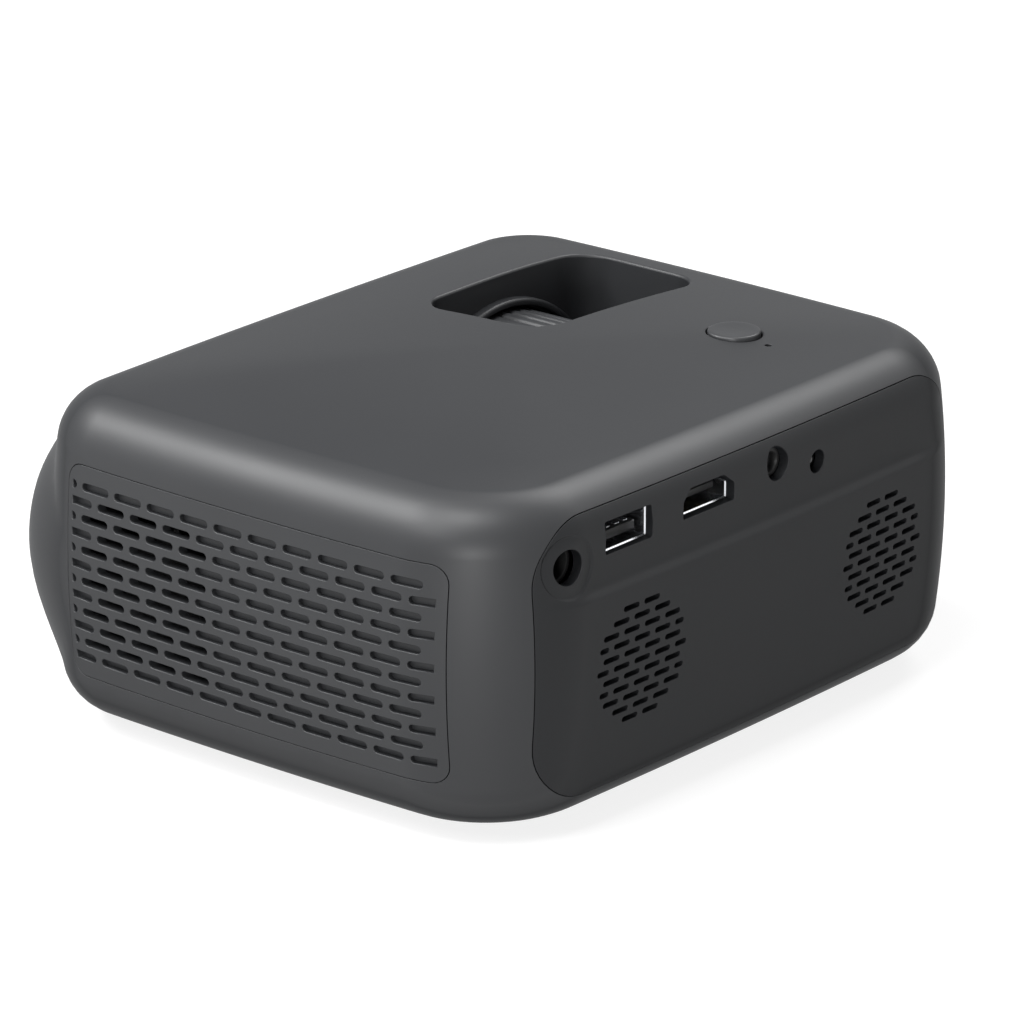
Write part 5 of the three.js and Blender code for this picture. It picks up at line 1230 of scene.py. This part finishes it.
def dataOutline(grow, rounding=None):
    # A box with round corners, finer ones where it is the metal mouth
    x, z = dataPort["x"], dataPort["z"]
    halfWidth, halfHigh = dataPort["width"] / 2 + grow, dataPort["height"] / 2 + grow
    corner, steps = (dataPort["rounding"] + max(grow, 0), 3) if rounding is None else (rounding, 2)
    return roundedRect(x - halfWidth, x + halfWidth, z - halfHigh, z + halfHigh, corner, steps, 3.0)


def speakerHoles():
    # Staggered rows of slots, cut off where they meet a circle
    holes = []
    for centre in (-speaker["x"], speaker["x"]):
        for row in range(-speaker["rows"], speaker["rows"] + 1):
            rise = row * speaker["rowPitch"]
            chord = math.sqrt(speaker["patternRadius"] ** 2 - rise ** 2)
            reach = speaker["columns"] + (0.5 if row % 2 else 0)
            for column in np.arange(-reach, reach + 0.1):
                start = max(column * speaker["pitch"] - speaker["slotLength"] / 2, -chord)
                end = min(column * speaker["pitch"] + speaker["slotLength"] / 2, chord)
                if end - start >= speaker["shortest"]:
                    slot = slotOutline(centre + start, centre + end, speaker["z"] + rise,
                                       speaker["slotHeight"] / 2, 4)
                    holes.append({"points": slot, "lip": speaker["lip"]})
    return holes


def ledgePoints():
    # Closer points along the ledge and round the power socket: rows out to a share of the blend on either
    # side
    def rowsOver(key, blend):
        reach, count = strip[key]
        return np.linspace(-reach, reach, count) * blend

    end = rearPanel["halfWidth"] - strip["apart"]
    along = np.arange(-end, end, strip["spacing"])
    straight = np.stack(np.meshgrid(along, strip["ledge"] + rowsOver("rows", strip["blend"])),
                        -1).reshape(-1, 2)
    around = np.linspace(0, 4 * quarter, strip["dishSteps"], endpoint=False)
    ring = (strip["dish"] + rowsOver("dishRows", strip["dishBlend"]))[:, None]
    dish = np.stack([powerJack["x"] + ring * np.cos(around), powerJack["z"] + ring * np.sin(around)], -1)
    dish = dish.reshape(-1, 2)
    dish = dish[inside(dish, insertOutline("rear", -strip["edgeClear"]))]
    clear = np.hypot(straight[:, 0] - powerJack["x"], straight[:, 1] - powerJack["z"])
    return np.concatenate([straight[clear > strip["dish"] + strip["dishClear"]], dish])


def makeRearCover():
    # The rear sheet with its socket holes and speaker slots, and closer points where it steps
    shell = Shell()
    holes = [{"points": circle(jack["x"], jack["z"], jack["hole"], jack["around"]), "lip": strip["lip"]}
             for jack in (powerJack, audioJack, receiver)]
    holes += [{"points": outline(port["margin"]), "lip": port["lip"]}
              for outline in (dataOutline, videoOutline)]
    even, ledge = insertPoints("rear"), ledgePoints()
    apart = np.array([np.hypot(*(ledge - point).T).min() for point in even]) > strip["apart"]
    addInsert(shell, "rear", rearSurface, -1, holes + speakerHoles(), np.concatenate([even[apart], ledge]))
    putPiece("rear_cover_face", shell, "panelPlastic", "panel_plastic", "case", "rear_cover")


makeRearCover()
print("rear cover made")


def makeFrontCover():
    # The sheet in the swelling, with the lens bore
    shell = Shell()
    bore = {"points": circle(lens["x"], lens["z"], frontPanel["bore"], 72), "lip": frontPanel["boreLip"]}
    addInsert(shell, "front", faceSurface("front"), 1, [bore])
    putPiece("front_cover_face", shell, "glossBlack", "gloss_black", "case", "front_cover")


foot = {
    "places": ((-54.5, -37.0), (54.5, -37.0), (-54.5, 43.0), (54.5, 43.0)), "radius": 6.0, "recess": 0.8,
    "edge": 0.9, "clear": 0.3, "lip": 0.2, "tread": 0.25, "treadShares": (0.62, 0.66), "glue": 0.3,
}
tripod = {
    "y": 20.0, "radius": 4.8, "bore": 2.6, "clear": 0.3, "lip": 0.3, "bottom": 2.3, "top": 8.3, "mouth": 0.4,
    "first": 2.4, "pitch": 1.27, "turns": 4, "groove": 0.35,
}
posts = {
    # places, radius, top and facets of the solid posts; the ring round the tripod thread has a bore as well
    "sunk": 0.1,
    "foot": {"places": foot["places"], "radius": 7.2, "top": 6.3, "facets": 32},
    "board": {"places": [(x, y) for x in (-45.3, 20.8) for y in (15.1, 44.8)], "radius": 2.6, "top": 8.7,
              "facets": 24},
    "tripod": {"bore": 5.1, "radius": 7.0, "top": 8.7, "facets": 40},
}


def makeBottomCover():
    # A flat plate with a pocket for each foot, the tripod thread's hole, and the posts that stand on it
    # inside
    shell = Shell()
    pockets = [{"points": circle(x, y, foot["radius"] + foot["clear"], 40), "lip": foot["lip"],
                "depth": foot["recess"]} for x, y in foot["places"]]
    thread = {"points": circle(0, tripod["y"], tripod["radius"] + tripod["clear"], 40), "lip": tripod["lip"]}
    addInsert(shell, "bottom", baseSurface, -1, pockets + [thread])
    root = case["base"] + case["wall"] - posts["sunk"]
    for post in (posts["foot"], posts["board"]):
        radius, top = post["radius"], post["top"]
        for x, y in post["places"]:
            addLathe(shell, "z", (x, y, 0), [(0, root), (radius, root), (radius, top), (0, top)],
                     post["facets"])
    bore, radius, top = (posts["tripod"][key] for key in ("bore", "radius", "top"))
    addLathe(shell, "z", (0, tripod["y"], 0), [(bore, root), (radius, root), (radius, top), (bore, top)],
             posts["tripod"]["facets"], closed=True)
    putPiece("bottom_cover_plate", shell, "panelPlastic", "panel_plastic", "case", "bottom_cover")


def makeFeet():
    # Pads with a round lower edge and a shallow hollow under the middle
    radius, edge, top = foot["radius"], foot["edge"], case["base"] + foot["recess"] - foot["glue"]
    inner, outer = foot["treadShares"]
    profile = [(0, foot["tread"]), (radius * inner, foot["tread"]), (radius * outer, 0)]
    profile += [(radius - edge + edge * math.sin(a), edge - edge * math.cos(a))
                for a in np.linspace(0, quarter, 6)]
    profile += [(radius, top), (0, top)]
    for i, (x, y) in enumerate(foot["places"]):
        shell = Shell()
        addLathe(shell, "z", (x, y, 0), profile, 48)
        putPiece(f"rubber_foot_pad_{i + 1}", shell, "rubber", "rubber", "case", f"rubber_foot_{i + 1}",
                 smoothNormals=False)


def makeTripodThread():
    # A sleeve whose bore steps out and in once for each turn of the thread
    bore, first, pitch = tripod["bore"], tripod["first"], tripod["pitch"]
    groove = [(bore, first)]
    for i in range(tripod["turns"]):
        groove += [(bore + tripod["groove"], first + (i + 0.5) * pitch), (bore, first + (i + 1) * pitch)]
    profile = [(bore + tripod["mouth"], tripod["bottom"]), (tripod["radius"], tripod["bottom"]),
               (tripod["radius"], tripod["top"]), (bore, tripod["top"])] + groove[::-1]
    shell = Shell()
    addLathe(shell, "z", (0, tripod["y"], 0), profile, 48, closed=True)
    putPiece("tripod_thread", shell, "brass", "brass", "case", "tripod_insert", smoothNormals=False)


makeFrontCover()
makeBottomCover()
makeFeet()
makeTripodThread()
print("front and bottom covers made")


# Focus ring, lens bezel, barrel and glass

ring = {
    "radius": 26.8, "front": -38.0, "rear": 3.6, "ribs": 60, "perRib": 12, "depth": 0.75, "crest": 0.62,
    "crown": 0.06, "bore": 21.5, "relief": 23.6, "land": 4.0, "between": (0.25, 0.5, 0.75),
    # distance in from the end, ribbed or not, drawn in by
    "ends": ((0.0, False, 1.2), (0.25, True, 0.5), (0.9, True, 0.0)),
}
lug = {"near": 1.8, "far": 3.3, "low": -23.5, "high": -21.8, "corner": 0.2, "short": 0.3, "edge": 0.15}


def ribRadius(angle):
    # Wide crests and narrow round grooves: the radius falls by depth * (1 - w^2)^2 within a groove's width
    share = np.mod(angle / (4 * quarter / ring["ribs"]), 1.0)
    w = np.clip(np.abs(share - 0.5) / ((1 - ring["crest"]) / 2), 0, 1)
    crown = ring["crown"] * np.cos((share - 0.5) * 4 * quarter)
    return ring["radius"] - ring["crown"] - ring["depth"] * (1 - w ** 2) ** 2 - crown


def makeFocusRing():
    # Rows of points round the lens axis: the ribbed outside from rear to front, then the bore with its
    # relief. The two lugs inside hold the cam pin between them.
    shell = Shell()
    front, rear, land = ring["front"], ring["rear"], ring["land"]
    count = ring["ribs"] * ring["perRib"]
    angle = np.arange(count) / count * 4 * quarter
    rows = []

    def addRow(radius, y):
        rows.append(np.stack([lens["x"] + radius * np.cos(angle), np.full(count, y),
                              lens["z"] + radius * np.sin(angle)], 1))

    sections = [(rear - inwards, ribbed, draw) for inwards, ribbed, draw in ring["ends"]]
    sections += [(rear + (front - rear) * t, True, 0.0) for t in ring["between"]]
    sections += [(front + inwards, ribbed, draw) for inwards, ribbed, draw in ring["ends"][::-1]]
    for y, ribbed, draw in sections:
        radius = ribRadius(angle) if ribbed else ring["radius"] - ring["depth"]
        addRow(np.minimum(radius, ring["radius"]) - draw, y)
    for radius, y in ((ring["bore"], front), (ring["bore"], front + land), (ring["relief"], front + land),
                      (ring["relief"], rear - land), (ring["bore"], rear - land), (ring["bore"], rear)):
        addRow(radius, y)
    shell.add(np.concatenate(rows), gridFaces(len(rows), count, closeRows=True, closeColumns=True))
    for side in (-1, 1):
        u0, u1 = sorted((lens["x"] + side * lug["near"], lens["x"] + side * lug["far"]))
        bar = roundedRect(u0, u1, lens["z"] + lug["low"], lens["z"] + lug["high"], lug["corner"], 2, 4.0)
        addPushed(shell, "y", bar, front + lug["short"], rear - lug["short"], lug["edge"])
    putPiece("focus_ring_grip", shell, "ringPlastic", "panel_plastic", "focus_ring", "focus_ring",
             smoothNormals=False, sharpAngle=50)


bezel = {
    "radius": 21.4, "front": -69.3, "rear": -58.6, "throat": 19.4, "mouth": 20.4,
    "edge": 0.35, "edgeStep": 0.1,
    "baffles": 5, "baffleEnd": 2.2, "baffleEdge": 0.15, "baffleLip": 0.12, "land": 1.4,
}
barrel = {
    "radius": 18.6, "bore": 16.2, "front": -58.0, "rear": -8.0, "seat": -31.0, "seatWidth": 2.0, "lip": 1.9,
    "bevel": 0.4, "edge": 0.5, "edgeStep": 0.15,
}
glass = {
    # how far the middle of each face stands out from its edge, steps from middle to edge, finish
    "front_lens": {"frontBow": 3.5, "rearBow": -1.5, "steps": 14, "finish": "coatedGlass"},
    "middle_lens": {"frontBow": -1.5, "rearBow": -1.5, "steps": 12, "finish": "clearGlass"},
    "rear_lens": {"frontBow": 2.0, "rearBow": 1.1, "steps": 12, "finish": "clearGlass"},
}


def makeBezel():
    # A ring with a rounded front edge, and stepped light baffles down its throat
    front, rear, radius, edge, step = (bezel[key] for key in ("front", "rear", "radius", "edge", "edgeStep"))
    profile = [(bezel["throat"], rear), (radius, rear), (radius, front + edge), (radius - step, front + step),
               (radius - edge, front)]
    count, rim = bezel["baffles"], bezel["baffleEdge"]
    span = (rear - bezel["baffleEnd"]) - front
    for i in range(count):
        y = front + span * i / count
        within = bezel["mouth"] - (bezel["mouth"] - bezel["throat"]) * i / count
        profile += [(within, y + (rim if i == 0 else 0)), (within, y + span / count - rim),
                    (within - bezel["baffleLip"], y + span / count)]
    profile += [(bezel["throat"], rear - bezel["land"])]
    shell = Shell()
    addLathe(shell, "y", (lens["x"], 0, lens["z"]), profile, 96, closed=True)
    putPiece("lens_bezel_ring", shell, "blackPlastic", "black_plastic", "case", "lens_bezel",
             smoothNormals=False)


def makeBarrel():
    # A tube with a rounded front edge, and two seats inside that the glass rests on
    radius, bore, front, rear, seat = (barrel[key] for key in ("radius", "bore", "front", "rear", "seat"))
    width, bevel, edge, step = (barrel[key] for key in ("seatWidth", "bevel", "edge", "edgeStep"))
    seatBore = bore - barrel["lip"]
    profile = [(bore, front + bevel), (bore + bevel, front), (radius - edge, front),
               (radius - step, front + step), (radius, front + edge), (radius, rear),
               (seatBore, rear), (seatBore, rear - width), (bore, rear - width), (bore, seat + width),
               (seatBore, seat + width), (seatBore, seat), (bore, seat)]
    shell = Shell()
    addLathe(shell, "y", (lens["x"], 0, lens["z"]), profile, 80, closed=True)
    putPiece("lens_barrel_tube", shell, "blackPlastic", "black_plastic", "lens_barrel", "lens_barrel",
             smoothNormals=False)


def makeGlass():
    # Round elements whose faces bow by bow * (1 - (r/R)^2), between the ends that their CAD nodes have
    for name, shape in glass.items():
        low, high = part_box(name)
        radius = (high.x - low.x) / 2 / mm
        frontEdge = low.y / mm + max(shape["frontBow"], 0)
        rearEdge = high.y / mm - max(shape["rearBow"], 0)
        r = np.linspace(0, radius, shape["steps"] + 1)
        front = [(a, frontEdge - shape["frontBow"] * (1 - (a / radius) ** 2)) for a in r]
        rear = [(a, rearEdge + shape["rearBow"] * (1 - (a / radius) ** 2)) for a in r[::-1]]
        shell = Shell()
        addLathe(shell, "y", (lens["x"], 0, lens["z"]), front + rear, 72)
        putPiece(f"{name}_glass", shell, shape["finish"], "clear_glass", "lens_barrel", name,
                 smoothNormals=False, sharpAngle=40)


makeFocusRing()
makeBezel()
makeBarrel()
makeGlass()
print("focus ring and lens made")


# Button, sockets and their contacts

def makeButton():
    # A cap with a slightly dished top and a round edge, on a flange and a stem that reaches the switch
    low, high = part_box("power_button")
    bottom, top = low.z / mm, high.z / mm
    radius, edge, flange, stem = (button[key] for key in ("radius", "edge", "flange", "stem"))
    dishRadius = radius - button["dishRim"]
    flangeTop = top - button["height"]
    flangeUnder = flangeTop - button["flangeThick"]
    profile = [(r, top - button["dish"] * (1 - (r / dishRadius) ** 2)) for r in np.linspace(0, dishRadius, 6)]
    profile += [(radius - edge + edge * math.sin(a), top - edge + edge * math.cos(a))
                for a in np.linspace(0, quarter, 6)]
    profile += [(radius, flangeTop), (flange, flangeTop), (flange, flangeUnder), (stem, flangeUnder),
                (stem, bottom), (0, bottom)]
    shell = Shell()
    addLathe(shell, "z", (button["x"], button["y"], 0), profile[::-1], 72)
    putPiece("power_button_cap", shell, "buttonPlastic", "case_plastic", "power_button", "power_button",
             smoothNormals=False, sharpAngle=40)


def makePort(name, spec, outline):
    # A thin metal mouth, and inside it a block that carries the tongue with its rows of contacts
    x, z, back = spec["x"], spec["z"], spec["length"]
    shell = Shell()
    addPushed(shell, "y", outline(0), socketMouth - back, socketMouth, port["edge"], hollow=port["wall"],
              flare=port["flare"])
    putPiece(f"{name}_port_shell", shell, "platedMetal", "socket_metal", "case", f"{name}_socket_shell",
             smoothNormals=False)

    shell = Shell()
    addPushed(shell, "y", outline(-port["inside"], port["blockRound"]),
              socketMouth - (back - port["blockFrom"]), socketMouth - (back - port["blockTo"]),
              port["blockEdge"])
    left, right, below, above = spec["tongue"]
    tongue = roundedRect(x + left, x + right, z + below, z + above, spec["tongueRound"], 3, 3.0)
    addPushed(shell, "y", tongue, socketMouth - (back - port["tongueFrom"]), socketMouth - spec["short"],
              spec["tongueRound"])
    half, steps = spec["halfContact"], spec["contactSteps"]
    for count, rise in spec["contacts"]:
        for i in range(count):
            u = x + (i - (count - 1) / 2) * spec["pitch"]
            contact = roundedRect(u - half, u + half, socketMouth - spec["contactFrom"],
                                  socketMouth - spec["contactTo"], spec["contactRound"], steps, 3.0)
            addPushed(shell, "z", contact, z + rise - spec["contactLow"], z + rise + spec["contactHigh"],
                      spec["contactEdge"], finishIndex=1, steps=steps)
    putPiece(f"{name}_port_tongue", shell, ["socketPlastic", spec["metal"]], "black_plastic", "case",
             f"{name}_socket_tongue", smoothNormals=False)


def addBlock(shell, jack):
    # The moulded block behind a round socket
    left, right, below, above = jack["block"]
    outline = roundedRect(jack["x"] + left, jack["x"] + right, jack["z"] + below, jack["z"] + above,
                          *jack["blockRound"])
    addPushed(shell, "y", outline, jack["back"], jack["face"], 0.2)


def addNose(shell, jack):
    # The round nose in front of it: its rim is given by radius and distance back from the mouth
    rim = [(radius, jack["mouth"] - behind) for radius, behind in jack["rim"]]
    profile = [(rim[-1][0], jack["noseFrom"]), (rim[0][0], jack["noseFrom"])] + rim
    addLathe(shell, "y", (jack["x"], 0, jack["z"]), profile, jack["facets"], closed=True)


def makeJacks():
    # The headphone socket with its metal sleeve, and the power socket with its pin
    shell = Shell()
    addBlock(shell, audioJack)
    addNose(shell, audioJack)
    inner, outer = audioJack["sleeve"], audioJack["rim"][-1][0]
    start, end = audioJack["sleeveFrom"], audioJack["sleeveTo"]
    addLathe(shell, "y", (audioJack["x"], 0, audioJack["z"]),
             [(inner, start), (outer, start), (outer, end), (inner, end)], 40, 1, closed=True)
    putPiece("headphone_jack", shell, ["socketPlastic", "platedMetal"], "black_plastic", "case",
             "audio_socket", smoothNormals=False)

    shell = Shell()
    addBlock(shell, powerJack)
    addNose(shell, powerJack)
    pin, start, end = powerJack["pin"], powerJack["pinFrom"], powerJack["pinTo"]
    tip = [(math.sin(a) * pin, end + math.cos(a) * powerJack["pinTip"]) for a in np.linspace(0, quarter, 5)]
    addLathe(shell, "y", (powerJack["x"], 0, powerJack["z"]), tip + [(pin, start), (0, start)], 28, 1)
    putPiece("power_jack", shell, ["blackPlastic", "platedMetal"], "black_plastic", "case", "power_socket",
             smoothNormals=False)


def makeReceiver():
    # A block with a domed window, hung from the board by three pins
    shell = Shell()
    addBlock(shell, receiver)
    x, z, radius, back = (receiver[key] for key in ("x", "z", "dome", "domeBack"))
    dome = [(radius * math.sin(a), receiver["domeFrom"] + receiver["domeRise"] * math.cos(a))
            for a in np.linspace(0, quarter, 9)]
    addLathe(shell, "y", (x, 0, z), dome + [(radius, back), (0, back)], 36)
    for offset in receiver["pins"]:
        pin = roundedRect(x + offset - receiver["pin"], x + offset + receiver["pin"], receiver["back"],
                          receiver["back"] + receiver["pinDepth"], 0.1, 1, 3.0)
        addPushed(shell, "z", pin, z, boardUnder - receiver["pinGap"], 0.05, finishIndex=1)
    putPiece("remote_eye", shell, ["glossBlack", "steel"], "gloss_black", "case", "remote_receiver",
             smoothNormals=False)


makeButton()
makePort("data", dataPort, dataOutline)
makePort("video", videoPort, videoOutline)
makeJacks()
makeReceiver()
print("button and sockets made")


# Finishes of the CAD nodes that stay as they are

carried = {
    "aluminium": ("lamp_board", "heat_sink"),
    "blackPlastic": ("lens_mount", "lens_spacer", "lens_clamp_ring", "engine_box", "engine_lid", "fan_frame",
                     "fan_rotor", "switch_body", "fan_lead"),
    "circuitBoard": ("main_board", "power_board"),
    "clearGlass": ("field_fresnel", "collimator_fresnel", "condenser_lens", "indicator_light_pipe"),
    "filterFoam": ("dust_filter",),
    "glossBlack": ("image_panel",),
    "mirrorGlass": ("fold_mirror",),
    "redSleeve": ("lamp_lead",),
    "ribbonFilm": ("panel_ribbon",),
    "speakerPaper": ("left_speaker_cone", "right_speaker_cone"),
    "steel": ("ring_retainer", "cam_pin", "left_speaker_basket", "right_speaker_basket", "board_screw_1",
              "board_screw_2", "cover_screw_1", "cover_screw_2", "cover_screw_3", "cover_screw_4"),
    "whitePlastic": ("switch_plunger",),
}


def finishCarried():
    # The finish goes into every material slot of each carried mesh
    for key, names in carried.items():
        for name in names:
            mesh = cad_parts[name].data
            if not mesh.materials:
                mesh.materials.append(finish[key])
            for i in range(len(mesh.materials)):
                mesh.materials[i] = finish[key]


finishCarried()
print("carried nodes finished:", sum(map(len, carried.values())))
